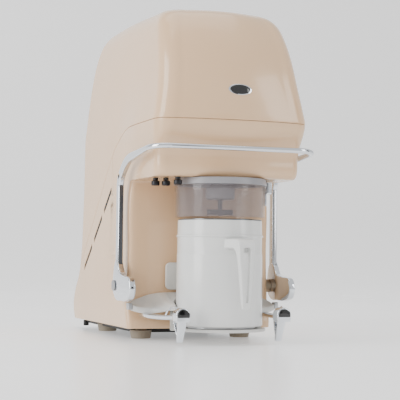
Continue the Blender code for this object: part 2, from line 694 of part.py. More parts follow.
def guard():
    """Clear collar, the grey ring that holds it and the fixings under the head."""
    outer = GUARD_R + GUARD_WALL
    profile = [(GUARD_R, GUARD_LOW), (outer, GUARD_LOW), (outer, 233 * mm), (outer + 1.6 * mm, 234 * mm),
               (outer + 1.6 * mm, GUARD_HIGH), (GUARD_R - 3 * mm, GUARD_HIGH),
               (GUARD_R - 3 * mm, GUARD_HIGH - 2.2 * mm), (GUARD_R, GUARD_HIGH - 2.2 * mm)]
    add("clear_guard", turned(profile, 32), finish=CLEAR)
    low, high = GUARD_HIGH + GAP, HEAD_Z - GAP
    ring_in = GUARD_R - 11.4 * mm
    ring = [(ring_in, low), (outer + 2.6 * mm, low), (outer + 1 * mm, high), (ring_in, high)]
    add("guard_ring", turned(ring, 32), finish=GREY)
    latch = add("guard_latch", box((outer + 4.4 * mm, -11 * mm, 232 * mm),
                                   (outer + 13.4 * mm, 11 * mm, high)), finish=CHROME)
    weld(latch, box((outer + 3.9 * mm, -7 * mm, 214 * mm), (outer + 6.4 * mm, 7 * mm, 236 * mm)))
    # how far each screw stands out from the collar, and its bearing
    for number, (out, bearing) in enumerate(((33.1, 173.3), (17.6, 176), (15.8, 200.6))):
        away, turn = outer + out * mm, math.radians(bearing)
        knob = [(0, high - 12 * mm), (5.5 * mm, high - 12 * mm), (6.5 * mm, high - 10.5 * mm),
                (6.5 * mm, high - 5 * mm), (4 * mm, high - 4 * mm), (4 * mm, high), (0, high)]
        place = (away * math.cos(turn), away * math.sin(turn))
        add("guard_screw_%d" % (number + 1), turned(knob, 10, place), finish=DARK)


guard()

# ---- cooling unit in the body --------------------------------------------------------------
COMPRESSOR = (0, 252 * mm)
COMPRESSOR_R = 60 * mm


def cooling():
    r = COMPRESSOR_R
    shell = [(0, FLOOR_Z), (r - 12 * mm, FLOOR_Z), (r - 4 * mm, 30 * mm), (r, 40 * mm),
             (r, 132 * mm), (r - 6 * mm, 148 * mm), (r - 20 * mm, 160 * mm),
             (r - 38 * mm, 165 * mm), (0, 166 * mm)]
    add("compressor", turned(shell, 20, COMPRESSOR), finish=BLACK)
    # condenser: a comb of fins on two header plates
    y0, y1, z0, z1 = 338 * mm, 368 * mm, 188 * mm, 330 * mm
    coil = add("condenser", box((-76 * mm, y0 + 10 * mm, z0), (76 * mm, y1 - 10 * mm, z1)),
               finish=COPPER)
    fins = 9
    for i in range(fins):
        x = lerp(-76 * mm, 73 * mm, i / (fins - 1))
        weld(coil, box((x, y0, z0 - 2 * mm), (x + 3 * mm, y1, z1 + 2 * mm)))
    shroud = add("fan_shroud", box((-80 * mm, 329 * mm, 172 * mm), (80 * mm, 332 * mm, 334 * mm)),
                 finish=STEEL)
    cut(shroud, rod(FAN_R + 5 * mm, 320 * mm, 340 * mm, (0, FAN_Z), "Y", 28))
    fan_motor = add("fan_motor", rod(17 * mm, 268 * mm, 292 * mm, (0, FAN_Z), "Y"), finish=DARK)
    weld(fan_motor, box((-72 * mm, 274 * mm, FAN_Z - 5 * mm), (72 * mm, 278 * mm, FAN_Z + 5 * mm)))
    for side in (-1, 1):
        a, b = sorted((side * 68 * mm, side * 72 * mm))
        weld(fan_motor, box((a, 274 * mm, FAN_Z - 5 * mm), (b, 329 * mm - GAP, FAN_Z + 5 * mm)))
    blades = add("fan_blades", rod(14 * mm, 294 * mm, 318 * mm, (0, FAN_Z), "Y"), "fan", BLACK)
    count = 5
    for i in range(count):
        a = math.tau * i / count
        out, round_ = Vector((math.cos(a), 0, math.sin(a))), Vector((-math.sin(a), 0, math.cos(a)))
        rings = []
        for r, half, pitch in ((10 * mm, 8 * mm, 0.75), (34 * mm, 16 * mm, 0.6),
                               (FAN_R, 21 * mm, 0.42)):
            middle = Vector((0, FAN_Y, FAN_Z)) + out * r
            flat = round_ * math.cos(pitch) + Vector((0, math.sin(pitch), 0))
            thick = out.cross(flat).normalized() * 0.8 * mm
            rings.append([middle - flat * half - thick, middle + flat * half - thick,
                          middle + flat * half + thick, middle - flat * half + thick])
        bm = bmesh.new()
        skin(bm, rings)
        weld(blades, tidy(bm))
    liquid = rounded([(58 * mm, 353 * mm, 185 * mm), (58 * mm, 353 * mm, 60 * mm),
                      (70 * mm, 300 * mm, 34 * mm), (70 * mm, FRAME_Y + 8 * mm, 34 * mm)], 16 * mm, 4)
    add("liquid_pipe", swept(liquid, disc(3 * mm, 8), (1, 0, 0)), finish=COPPER)
    suction = rounded([(-66 * mm, 226 * mm, 120 * mm), (-84 * mm, 226 * mm, 120 * mm),
                       (-84 * mm, FRAME_Y + 22 * mm, 60 * mm),
                       (-84 * mm, FRAME_Y + 10 * mm, 40 * mm)], 10 * mm, 4)
    add("suction_pipe", swept(suction, disc(4.5 * mm, 8), (0, 0, 1)), finish=COPPER)


cooling()


def power_inlet():
    """Mains inlet without its lead, and the switch next to it."""
    y0, y1 = PANEL_Y[0] - 22 * mm, PANEL_Y[0] + 5 * mm
    inlet = add("power_inlet", box((-61 * mm, y0, 151 * mm), (-31 * mm, y1, 175 * mm)), finish=BLACK)
    cut(inlet, box((-57.5 * mm, y1 - 16 * mm, 155 * mm), (-34.5 * mm, y1 + 5 * mm, 171 * mm)))
    weld(inlet, *[box((x * mm, y1 - 20 * mm, z * mm), ((x + 2) * mm, y1 - 4 * mm, (z + 4) * mm))
                  for x, z in ((-54, 159), (-47, 163), (-40, 159))])
    face = [(y1, 153 * mm), (y1, 163 * mm), (y1 - 2 * mm, 163.2 * mm), (y1 - 1.4 * mm, 173 * mm),
            (y1 - 9 * mm, 173 * mm), (y1 - 11 * mm, 153 * mm)]
    add("power_rocker", prism(face, "X", -8 * mm, 10 * mm), "rocker", BLACK)


power_inlet()

# ---- bail, cross shaft and cranks ----------------------------------------------------------
ARM_TOP_Y = -37 * mm


def bail():
    """Bent chrome tube joined to two flat arms whose lower ends are heavy castings."""
    start = (-BAIL_X, ARM_TOP_Y + GAP, 294.5 * mm)
    path = rounded([start, (-BAIL_X, BAIL_Y, BAIL_Z), (BAIL_X, BAIL_Y, BAIL_Z),
                    (BAIL_X, *start[1:])], 30 * mm, 7)
    path.insert(len(path) // 2, Vector((0, BAIL_Y, BAIL_Z)))
    add("bail_tube", swept(path, disc(BAIL_TUBE_R, 10), (0, 0, 1)), "bail", CHROME)
    # the casting's outline, from the shaft's centre
    foot = [(0, 33), (6, 18), (9, 4), (5, -9), (-9, -20), (-60, -22), (-79, -15), (-85, -2), (-77, 10),
            (-46, 13), (-22, 18), (-14, 33)]
    for side, name in ((-1, "left"), (1, "right")):
        x = side * BAIL_X
        line = rounded([(x, ARM_TOP_Y + 2 * GAP, 294.5 * mm), (x, ARM_Y - 29 * mm, 284 * mm),
                        (x, ARM_Y, 252 * mm), (x, ARM_Y, PIVOT_Z + 26 * mm)], [90 * mm, 26 * mm], 6)
        arm = add("bail_arm_" + name, swept(line, bar(ARM_WIDE, ARM_DEEP, 2.4 * mm), (1, 0, 0)),
                  "bail", CHROME)
        a, b = sorted((x - side * ARM_WIDE / 2, x + side * 6 * mm))
        weld(arm, prism([(PIVOT_Y + y * mm, PIVOT_Z + z * mm) for y, z in foot], "X", a, b))
        cut(arm, rod(SHAFT_R + GAP, -REACH, REACH, (PIVOT_Y, PIVOT_Z), "X"))
        face_y = ARM_Y - ARM_DEEP / 2
        cut(arm, box((x - 2.6 * mm, face_y - 3 * mm, 122 * mm),
                     (x + 2.6 * mm, face_y + 1 * mm, 244 * mm)))
        tip = side * (BAIL_X + 3 * mm)
        end = side * (BAIL_X + 8.4 * mm)
        face = side * (BAIL_X + 6 * mm + GAP)
        cap = SHAFT_R + 1.5 * mm
        head = [(0, tip + side * GAP), (SHAFT_R - GAP, tip + side * GAP), (SHAFT_R - GAP, face),
                (cap, face), (cap, end - side * 0.8 * mm), (cap - 2 * mm, end), (0, end)]
        add("pivot_screw_" + name, turned(head, 14, (PIVOT_Y, PIVOT_Z), "X"), "bail", STEEL)
        bush_in, bush_out = side * (HALF_WIDTH - 7 * mm), side * (BAIL_X - ARM_WIDE / 2 - GAP)
        bush = [(SHAFT_R + RUN, bush_in), (BUSH_R, bush_in), (BUSH_R, bush_out),
                (SHAFT_R + RUN, bush_out)]
        add("pivot_bush_" + name, turned(bush, 18, (PIVOT_Y, PIVOT_Z), "X"), finish=BRONZE)
    reach = BAIL_X + 3 * mm
    add("lift_shaft", rod(SHAFT_R, -reach, reach, (PIVOT_Y, PIVOT_Z), "X"), "bail", STEEL)


CRANK_X = (43 * mm, 49 * mm)
PIN_R = 3.5 * mm
CRANK_PIN = (PIVOT_Y + CRANK_R * math.cos(SWING / 2), PIVOT_Z - CRANK_R * math.sin(SWING / 2))


def cranks():
    """Two cranks on the cross shaft; each pin works in a level slot of the lift yoke."""
    lean = Vector((CRANK_PIN[0] - PIVOT_Y, CRANK_PIN[1] - PIVOT_Z))
    turn = math.atan2(lean.y, lean.x)
    plan = []
    for (y, z), r, first in (((PIVOT_Y, PIVOT_Z), SHAFT_R + 5 * mm, 90), (CRANK_PIN, 7.5 * mm, -90)):
        for i in range(7):
            a = turn + math.radians(first + 30 * i)
            plan.append((y + r * math.cos(a), z + r * math.sin(a)))
    for side, name in ((-1, "left"), (1, "right")):
        a, b = sorted(side * x for x in CRANK_X)
        crank = add("lift_crank_" + name, prism(plan, "X", a, b), "bail", STEEL)
        cut(crank, rod(SHAFT_R + GAP, a - 5 * mm, b + 5 * mm, (PIVOT_Y, PIVOT_Z), "X"))
        c, d = sorted((side * (CRANK_X[0] + 2 * mm), side * 34.5 * mm))
        weld(crank, rod(PIN_R, c, d, CRANK_PIN, "X", 14))


bail()
cranks()

# ---- cradle that carries the mug -----------------------------------------------------------
CRADLE_IN = MUG_R + 2.5 * mm
CRADLE_OUT = CRADLE_IN + 6.5 * mm
PLATE_Y = (COLUMN_Y - 9 * mm, COLUMN_Y - 3.4 * mm)
ROD_X = 62 * mm
ROD_Y = PIVOT_Y + 20 * mm
ROD_R = 4 * mm
HOOK_X = 81.3 * mm
WING_X = HALF_WIDTH + 2 * mm


def cradle():
    """Horseshoe casting round the mug's foot, with two wings and a plate up the column."""
    low = 19 * mm
    tray = add("tray", rod(CRADLE_OUT, low, 77 * mm, sides=44), "tray", CASTING)
    slope = [(-120, 90), (-120, 10), (2, 10), (12, 48), (30, 60), (60, 75), (90, 82), (90, 90)]
    cut(tray, prism([(y * mm, z * mm) for y, z in slope], "X", -REACH, REACH))
    weld(tray, rod(CRADLE_IN - 8 * mm, low + 0.5 * mm, MUG_LOW - 2 * mm, sides=40))
    inner = [(52, -4), (58, -28), (62, -62), (74, -62), (86, -46), (102, -34)]
    tip = [(-2, -28), (0, -24), (0, -6), (-10, -4)]
    for side in (-1, 1):
        wing = [(side * x * mm, COLUMN_Y + y * mm) for x, y in inner]
        wing += [(side * (WING_X + x * mm), COLUMN_Y + y * mm) for x, y in tip]
        weld(tray, prism(wing, "Z", 47 * mm, 57 * mm))
    corner = 9
    plate = [(-61 + corner, 82), (61 - corner, 82), (61, 82 + corner), (61, 123.5 - corner),
             (61 - corner, 123.5), (-61 + corner, 123.5), (-61, 123.5 - corner), (-61, 82 + corner)]
    weld(tray, prism([(x * mm, z * mm) for x, z in plate], "Y", *PLATE_Y))
    weld(tray, box((-38 * mm, PLATE_Y[0] - 7 * mm, 58 * mm), (38 * mm, PLATE_Y[1] - 0.2 * mm, 92 * mm)))
    cut(tray, rod(CRADLE_IN, MUG_LOW - 3 * mm, 130 * mm, sides=44))
    add("cold_plate", rod(56 * mm, MUG_LOW - 3 * mm + GAP, MUG_LOW - GAP, sides=32), "tray", STEEL)


def hooks():
    """Chrome arms under the wings; each reaches forward to a block with a dark cap and a leg."""
    for side, name in ((-1, "left"), (1, "right")):
        path = [(side * 101 * mm, 70 * mm, 41 * mm), (side * 100 * mm, 30 * mm, 41 * mm),
                (side * 90 * mm, -20 * mm, 41.5 * mm), (side * 84 * mm, -52 * mm, 43 * mm)]
        arm = add("hook_" + name, swept(rounded(path, 30 * mm, 3), bar(8 * mm, 9 * mm, 2 * mm),
                                        (1, 0, 0)), "tray", CHROME)
        a, b = sorted((side * 69.8 * mm, side * 93 * mm))
        weld(arm, box((a, -66 * mm, 35 * mm), (b, -48 * mm, 57 * mm)))
        leg = []
        for z, half, y in ((37, 7.5, -55), (22, 6.6, -51), (10, 5.6, -46), (6, 3.6, -45)):
            x = side * 80 * mm
            leg.append([Vector((x - half * mm, (y - 4) * mm, z * mm)),
                        Vector((x + half * mm, (y - 4) * mm, z * mm)),
                        Vector((x + half * mm, (y + 4) * mm, z * mm)),
                        Vector((x - half * mm, (y + 4) * mm, z * mm))])
        bm = bmesh.new()
        skin(bm, leg)
        weld(arm, tidy(bm))
        cap = [(HOOK_X * side + 10 * mm * math.cos(math.pi * i / 8),
                46 * mm + 10 * mm * math.sin(math.pi * i / 8)) for i in range(9)]
        cap += [(HOOK_X * side - 10 * mm, 42.5 * mm), (HOOK_X * side + 10 * mm, 42.5 * mm)]
        add("hook_cap_" + name, prism(cap, "Y", -68.5 * mm, -66 * mm - GAP), "tray", BLACK)
        a, b = sorted((side * (WING_X + GAP), side * (WING_X + 7.8 * mm)))
        add("tray_pin_" + name, box((a, COLUMN_Y - 25 * mm, 49 * mm),
                                       (b, COLUMN_Y - 13 * mm, 60 * mm)), "tray", STEEL)


def yoke():
    """Slides on the guide rods behind the column; its slots take the crank pins."""
    cheek = (36 * mm, 41 * mm)
    frame = add("lift_yoke", box((-cheek[1], COLUMN_Y + 5.5 * mm, 38 * mm),
                                 (cheek[1], PIVOT_Y + 46 * mm, 50 * mm)),
                "tray", CASTING)
    weld(frame,
         box((-72 * mm, ROD_Y - 9 * mm, 38.6 * mm), (72 * mm, ROD_Y + 9 * mm, 49.4 * mm)),
         box((-cheek[1] + 1 * mm, COLUMN_Y + 5 * mm, 44 * mm),
             (cheek[1] - 1 * mm, PIVOT_Y - SHAFT_R - 1 * mm, 113 * mm)),
         box((-LUG_X, PLATE_Y[1] + GAP, LUG_Z[0]), (LUG_X, COLUMN_Y + 7 * mm, LUG_Z[1])))
    slot_z = PIN_R + 0.6 * mm
    for side in (-1, 1):
        a, b = sorted((side * cheek[0], side * cheek[1]))
        weld(frame, box((a, PIVOT_Y + 23 * mm, 44 * mm), (b, PIVOT_Y + 45 * mm, 92 * mm)))
        cut(frame,
            box((a - 2 * mm, CRANK_PIN[0] - PIN_R - 1 * mm, CRANK_PIN[1] - slot_z),
                (b + 2 * mm, PIVOT_Y + CRANK_R + PIN_R + 1 * mm, CRANK_PIN[1] + slot_z)),
            rod(ROD_R + RUN, 30 * mm, 60 * mm, (side * ROD_X, ROD_Y)))
        name = "left" if side < 0 else "right"
        add("guide_rod_" + name, rod(ROD_R, FLOOR_Z, DECK_Z - GAP, (side * ROD_X, ROD_Y), sides=14),
            finish=STEEL)


cradle()
hooks()
yoke()

# ---- mug and dasher ------------------------------------------------------------------------
def mug():
    """Insulated mug: a moulded jacket with an open hanging handle, and a steel liner."""
    r, z = MUG_R, MUG_LOW
    inner = LINER_R + GAP
    jacket = [(54.4 * mm, z), (r - 1.5 * mm, z), (r, z + 2 * mm), (r - 0.8 * mm, 138 * mm),
              (r - 1.1 * mm, MUG_RING_Z - 2 * mm), (r + 0.3 * mm, MUG_RING_Z - 1.4 * mm),
              (r + 0.3 * mm, MUG_RING_Z + 1.4 * mm), (r - 1.2 * mm, MUG_RING_Z + 2 * mm),
              (r - 1.6 * mm, MUG_TOP - 1.8 * mm), (inner, MUG_TOP - 1.8 * mm),
              (inner, z + 7 * mm), (54.4 * mm, z + 7 * mm)]
    body = add("mug_jacket", turned(jacket, 40), "mug", WHITE)
    root, top, low, deep = -(r - 3.5 * mm), MUG_RING_Z - 4.5 * mm, z + 29 * mm, 9.5 * mm
    y = HANDLE_Y
    loop = prism([(root, top - 14.5 * mm), (root, top - 0.5 * mm), (y + 7 * mm, top),
                  (y + 2 * mm, top - 2.5 * mm), (y, top - 8.5 * mm), (y, low + 14 * mm),
                  (y + 1.5 * mm, low + 4 * mm), (y + 4.5 * mm, low), (y + 8 * mm, low + 4 * mm),
                  (y + deep, low + 14 * mm), (y + deep, top - 22.5 * mm),
                  (y + deep + 4.5 * mm, top - 16.5 * mm), (y + deep + 13.5 * mm, top - 14.5 * mm)],
                 "X", -14 * mm, 14 * mm)
    for vert in loop.verts:
        vert.co.x *= lerp(0.42, 1.0, ease(vert.co.z, low - 16 * mm, top - 10 * mm))
    weld(body, loop)
    slot = []
    for height, half in ((low + 12 * mm, 2.4 * mm), (top - 14.5 * mm, 6.2 * mm)):
        slot.append([Vector((x, depth, height)) for x, depth in (
            (-half, y - 10 * mm), (half, y - 10 * mm), (half, y + 15 * mm), (-half, y + 15 * mm))])
    bm = bmesh.new()
    skin(bm, slot)
    cut(body, tidy(bm))
    bowl = LINER_R - LINER_WALL
    liner = [(0, z + GAP), (54 * mm, z + GAP), (54 * mm, z + 7 * mm + GAP),
             (LINER_R, z + 7 * mm + GAP), (LINER_R, MUG_TOP - 1.8 * mm + GAP),
             (r - 1.8 * mm, MUG_TOP - 1.8 * mm + GAP), (r - 1.8 * mm, MUG_TOP), (bowl, MUG_TOP),
             (bowl, z + 10 * mm), (0, z + 10 * mm)]
    add("mug_liner", turned(liner, 32), "mug", STEEL)


def dasher():
    """Turning frame in the mug; its cup takes the drive's cross bar when the mug is raised."""
    floor, rim = 150 * mm, 186 * mm
    clear = 2 * mm
    bore = DOG_X + clear
    low = MUG_LOW + 13 * mm
    frame = add("dasher_frame", box((-50 * mm, -2.5 * mm, low + 3 * mm),
                                    (50 * mm, 2.5 * mm, floor + 2 * mm)), "dasher", WHITE)
    cut(frame, *[box((x0, -10 * mm, low + 16 * mm), (x1, 10 * mm, floor - 12 * mm))
                 for x0, x1 in ((-42 * mm, -10 * mm), (10 * mm, 42 * mm))])
    cup = [(0, floor), (bore + 4 * mm, floor), (bore + 4 * mm, rim), (bore, rim),
           (bore, floor + 5 * mm), (0, floor + 5 * mm)]
    weld(frame, turned(cup, 20), rod(6 * mm, low, floor + 2 * mm, sides=14))
    for side in (-1, 1):
        y0, y1 = sorted((side * (DOG_Y + 5 * mm), side * (bore + 1 * mm)))
        weld(frame, box((-5 * mm, y0, floor + 3 * mm), (5 * mm, y1, rim - 1 * mm)))
        x0, x1 = sorted((side * 49 * mm, side * 57 * mm))
        weld(frame, box((x0, -5 * mm, low + 4 * mm), (x1, 5 * mm, floor - 4 * mm)))


mug()
dasher()
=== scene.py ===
"""Looks of a countertop ice cream maker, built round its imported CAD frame.

Lengths are metres.  Machine coordinates have their origin on the table under the mug's axis;
AXIS_Y places that axis in the row frame.  The front is -Y and +X is the user's right.
"""
import json
import math

import bmesh
import bpy
from mathutils import Matrix, Vector

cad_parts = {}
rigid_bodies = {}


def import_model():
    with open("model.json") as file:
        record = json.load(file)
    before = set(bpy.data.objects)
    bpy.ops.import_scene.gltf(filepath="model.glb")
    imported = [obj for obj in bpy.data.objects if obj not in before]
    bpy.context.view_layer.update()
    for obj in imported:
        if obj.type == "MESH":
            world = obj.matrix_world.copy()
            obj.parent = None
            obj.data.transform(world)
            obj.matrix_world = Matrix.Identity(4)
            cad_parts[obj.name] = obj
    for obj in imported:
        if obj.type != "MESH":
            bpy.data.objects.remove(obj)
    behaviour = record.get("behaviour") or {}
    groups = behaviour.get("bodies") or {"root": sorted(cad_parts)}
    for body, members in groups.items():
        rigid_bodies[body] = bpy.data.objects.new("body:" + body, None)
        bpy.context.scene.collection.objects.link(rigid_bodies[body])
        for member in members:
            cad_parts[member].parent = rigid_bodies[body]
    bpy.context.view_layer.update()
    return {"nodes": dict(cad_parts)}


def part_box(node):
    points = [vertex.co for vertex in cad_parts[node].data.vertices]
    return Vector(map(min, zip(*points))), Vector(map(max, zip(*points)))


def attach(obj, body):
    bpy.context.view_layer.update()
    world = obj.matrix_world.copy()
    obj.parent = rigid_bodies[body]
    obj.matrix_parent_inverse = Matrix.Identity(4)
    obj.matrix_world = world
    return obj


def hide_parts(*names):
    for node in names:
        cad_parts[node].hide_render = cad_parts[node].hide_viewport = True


for old in list(bpy.data.objects):
    bpy.data.objects.remove(old)
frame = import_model()
nodes = frame["nodes"]
mm = 0.001
guard_low, guard_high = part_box("clear_guard")
AXIS_Y = (guard_low.y + guard_high.y) / 2

# ---- Hood, front casing and side panels --------------------------------------------------
# Four covers moulded in glossy cream plastic, 2.5 mm thick, that meet along a rolled seam.
# The hood drops over the top; the front casing forms the head and the column; the side
# panels close the flanks and are held by hidden clips.
WALL = 2.5 * mm
SEAM_GAP = 0.5 * mm
SPLIT_HALF = 0.35 * mm    # half the gap where two covers meet side by side
LIP = 1.1 * mm            # radius that rolls each edge into its seam
HEAD_LOW = 254 * mm
SEAM_Z = 339 * mm
CROWN_Z = 530 * mm
CROWN_FALL = 8 * mm       # how far the crown drops towards the front
FLANK_Y = 106 * mm        # where the column's corner meets its flank
PINCH_Y = (40 * mm, 170 * mm)

# height, half-width, back (all mm)
REAR = [(18, 121, 446), (35, 122, 453), (52, 121.6, 455), (72, 120.6, 446), (92, 119.6, 430),
        (116, 119, 418), (160, 118.5, 409), (254, 118, 403), (339, 118, 400), (400, 113.5, 391),
        (446, 110, 379), (480, 106, 365), (505, 100.5, 348), (518, 93, 332), (526, 83, 314),
        (530, 62, 284), (530.5, 30, 256), (530.6, 1, 240)]
# height, front, pinch of the flanks near the front, corner radius (all mm)
HEAD_FRONT = [(254, -45, 2.5, 18), (258, -51, 1, 18), (266, -53, 0, 18), (286, -54, 0, 18),
              (300, -58, -1, 20), (314, -67, -3, 24), (327, -75, -5, 28), (339, -78, -5.5, 28),
              (360, -76, -4, 28), (400, -68, -1, 28), (446, -54, 0, 28), (480, -38, 0, 28),
              (505, -23, 0, 28), (518, -11, 0, 28), (526, 4, 0, 28), (530, 34, 0, 28),
              (530.5, 68, 0, 28), (530.6, 96, 0, 28)]
COLUMN_FRONT = [(18, 80, -1.5), (30, 80, -1.5), (44, 86, -1.5), (60, 88, -1.5), (72, 88, -1.5),
                (92, 88, -1.5), (116, 88, -1.5), (140, 88, -1.5), (236, 88, -1.5), (254, 88, 2.5)]


def lerp(a, b, t):
    return a + (b - a) * t


def ease(value, low, high):
    t = min(max((value - low) / (high - low), 0), 1)
    return t * t * (3 - 2 * t)


def curve_through(rows, spacing):
    """Smooth curve through rows of numbers, as rows about spacing apart."""
    gaps = [max(math.dist(a, b), 1e-9) for a, b in zip(rows, rows[1:])]
    slopes = [[(q - p) / gap for p, q in zip(a, b)] for a, b, gap in zip(rows, rows[1:], gaps)]
    tangents = [slopes[0]]
    for before, after, g0, g1 in zip(slopes, slopes[1:], gaps, gaps[1:]):
        tangents.append([(p * g1 + q * g0) / (g0 + g1) for p, q in zip(before, after)])
    tangents.append(slopes[-1])
    made = []
    for a, b, m0, m1, gap in zip(rows, rows[1:], tangents, tangents[1:], gaps):
        steps = max(1, math.ceil(gap / spacing))
        for i in range(steps):
            t = i / steps
            made.append([(2 * t**3 - 3 * t**2 + 1) * p + (t**3 - 2 * t**2 + t) * gap * u
                         + (3 * t**2 - 2 * t**3) * q + (t**3 - t**2) * gap * v
                         for p, q, u, v in zip(a, b, m0, m1)])
    made.append(list(rows[-1]))
    return made


def read_table(table, height):
    for (z0, *a), (z1, *b) in zip(table, table[1:]):
        if height <= z1:
            return [lerp(p, q, max((height - z0) / (z1 - z0), 0)) for p, q in zip(a, b)]
    return list(table[-1][1:])


def spread(points, count, bend_weight=20 * mm):
    """The same line with count points, which crowd where it bends."""
    reach = [0.0]
    for i in range(1, len(points)):
        step = points[i] - points[i - 1]
        turn = 0.0
        if 1 < i and step.length > 1e-9 and (points[i - 1] - points[i - 2]).length > 1e-9:
            turn = step.angle(points[i - 1] - points[i - 2])
        reach.append(reach[-1] + step.length + bend_weight * turn)
    made, k = [], 0
    for i in range(count):
        want = reach[-1] * i / (count - 1)
        while k < len(reach) - 2 and reach[k + 1] < want:
            k += 1
        share = (want - reach[k]) / max(reach[k + 1] - reach[k], 1e-12)
        made.append(points[k].lerp(points[k + 1], min(share, 1)))
    return made


def split_line(z):
    """Where the front casing ends and the side panels begin."""
    return read_table([(-20 * mm, 146 * mm), (288 * mm, 198 * mm), (560 * mm, 232 * mm)], z)[0]


def seam_height(y):
    """The seam is level round the head, rolls over, then falls straight to the skirt."""
    corner, slope, radius = 159 * mm, -0.93, 198 * mm
    angle = math.atan(-slope)
    start = corner - radius * math.tan(angle / 2)
    if y <= start:
        return SEAM_Z
    if y <= start + radius * math.sin(angle):
        return SEAM_Z - radius + math.sqrt(radius**2 - (y - start) ** 2)
    return SEAM_Z + slope * (y - corner)


FRONT_COUNT, FLANK_COUNT, REAR_COUNT = 48, 9, 44


def half_ring(z, half, back, front, pinch, bow, corner, rear, inset):
    """Right half of one level of the casing, from the middle of the front to the middle of the back."""
    half, front, back = half - inset, front + inset, back - inset
    corner, rear = max(corner - inset, 0.3 * mm), max(rear - inset, 0.3 * mm)
    flank_y = max(FLANK_Y, lerp(front, back, 0.37))
    flat, split = half - corner, min(split_line(z), lerp(front, back, 0.66))
    edge = [Vector((flat * i / 24, front + bow * (i / 24) ** 2)) for i in range(25)]
    for i in range(1, 17):
        a = math.pi / 2 * i / 16
        edge.append(Vector((flat + corner * math.sin(a), front + bow + corner * (1 - math.cos(a)))))
    edge += [Vector((half, lerp(edge[-1].y, flank_y, i / 8))) for i in range(1, 9)]
    flank = [Vector((half, lerp(flank_y, split - SPLIT_HALF, i / 8))) for i in range(9)]
    tail = [Vector((half, lerp(split + SPLIT_HALF, back - rear, i / 20))) for i in range(21)]
    for i in range(1, 17):
        a = math.pi / 2 * i / 16
        tail.append(Vector((half - rear * (1 - math.cos(a)), back - rear * (1 - math.sin(a)))))
    tail += [Vector((lerp(half - rear, SPLIT_HALF, i / 8), back)) for i in range(1, 9)]
    ring = spread(edge, FRONT_COUNT) + spread(flank, FLANK_COUNT)[1:] + spread(tail, REAR_COUNT)
    for p in ring:
        p.x *= 1 - pinch / max(half, 1 * mm) * (1 - ease(p.y, *PINCH_Y))
    ring[0].x = 0
    lower = CROWN_FALL * min(max((z - SEAM_Z) / (CROWN_Z - SEAM_Z), 0), 1)
    return [Vector((p.x, p.y, z - lower * (1 - ease(p.y, 17 * mm, 230 * mm)))) for p in ring]


def casing_columns(inset):
    """Vertical lines down the right half of the casing's outer or inner surface."""
    levels = []
    rows = [(z, *read_table(REAR, z), front, pinch) for z, front, pinch in COLUMN_FRONT]
    for row in curve_through(rows, 4):
        z, half, back, front, pinch = (v * mm for v in row)
        up = inset if z > HEAD_LOW - 1e-6 else 0
        levels.append(half_ring(z + up, half, back, front, pinch, 3 * mm, 8 * mm, 22 * mm, inset))
    column_levels = len(levels)
    rows = [(z, *read_table(REAR, z), *row) for z, *row in HEAD_FRONT]
    for row in curve_through(rows, 4):
        z, half, back, front, pinch, corner = (v * mm for v in row)
        up = inset * (1 - ease(z, HEAD_LOW, 300 * mm)) - inset * ease(z, 480 * mm, CROWN_Z)
        corner, rear = min(corner, half * 0.45), min(22 * mm, half * 0.4)
        ring = half_ring(z, half, back, front, pinch, 10 * mm * min(half / (60 * mm), 1), corner,
                         rear, min(inset, half * 0.5))
        levels.append([p + Vector((0, 0, up)) for p in ring])
    columns = [list(line) for line in zip(*levels)]
    for line in columns[FRONT_COUNT:]:    # behind the head's overhang its first level repeats the column's
        del line[column_levels]
    return columns


def soften(line, passes, spacing=1.5 * mm):
    """Round the corners of a line by averaging it; its ends stay."""
    length = sum((b - a).length for a, b in zip(line, line[1:]))
    line = spread(line, max(4, round(length / spacing)), 0)
    for _ in range(passes):
        line = [line[0]] + [(a + 2 * b + c) / 4 for a, b, c in zip(line, line[1:], line[2:])] \
            + [line[-1]]
    return line


def part_column(line, upper):
    """The stretch of a column above or below the seam."""
    side = [p.z - seam_height(p.y) for p in line]
    k = max(i for i in range(len(line)) if side[i] < 0)
    cross = line[k].lerp(line[k + 1], side[k] / (side[k] - side[k + 1]))
    shift = Vector((0, 0, SEAM_GAP / 2 if upper else -SEAM_GAP / 2))
    return [cross + shift] + line[k + 1:] if upper else line[:k + 1] + [cross + shift]


def with_lip(line, inner_end, low, high):
    """Roll the ends of an outer line towards the inner surface, over LIP."""
    if low:
        near = line[0] + (line[1] - line[0]).normalized() * min(LIP, (line[1] - line[0]).length / 2)
        line = [line[0].lerp(inner_end[0], 0.35), line[0].lerp(near, 0.35).lerp(inner_end[0], 0.06),
                near] + line[1:]
    if high:
        back = line[-2] - line[-1]
        near = line[-1] + back.normalized() * min(LIP, back.length / 2)
        line = line[:-1] + [near, line[-1].lerp(near, 0.35).lerp(inner_end[1], 0.06),
                            line[-1].lerp(inner_end[1], 0.35)]
    return line


def mesh_from(name, vertices, faces):
    mesh = bpy.data.meshes.new(name)
    mesh.from_pydata([tuple(v) for v in vertices], [], faces)
    return mesh


def linked(name, data):
    """New object in the scene, at the origin."""
    obj = bpy.data.objects.new(name, data)
    bpy.context.scene.collection.objects.link(obj)
    return obj


def new_piece(name, source, sharp=35):
    """Link a mesh or a bmesh, drawn in machine coordinates, as a smooth-shaded piece."""
    if isinstance(source, bpy.types.Mesh):
        bm = bmesh.new()
        bm.from_mesh(source)
    else:
        bm = source
    bmesh.ops.remove_doubles(bm, verts=bm.verts, dist=1e-6)
    bmesh.ops.dissolve_degenerate(bm, edges=bm.edges, dist=1e-7)
    bmesh.ops.recalc_face_normals(bm, faces=bm.faces)
    bmesh.ops.translate(bm, verts=bm.verts, vec=(0, AXIS_Y, 0))
    mesh = bpy.data.meshes.new(name)
    bm.to_mesh(mesh)
    bm.free()
    mesh.shade_smooth()
    mesh.set_sharp_from_angle(angle=math.radians(sharp))
    return linked(name, mesh)


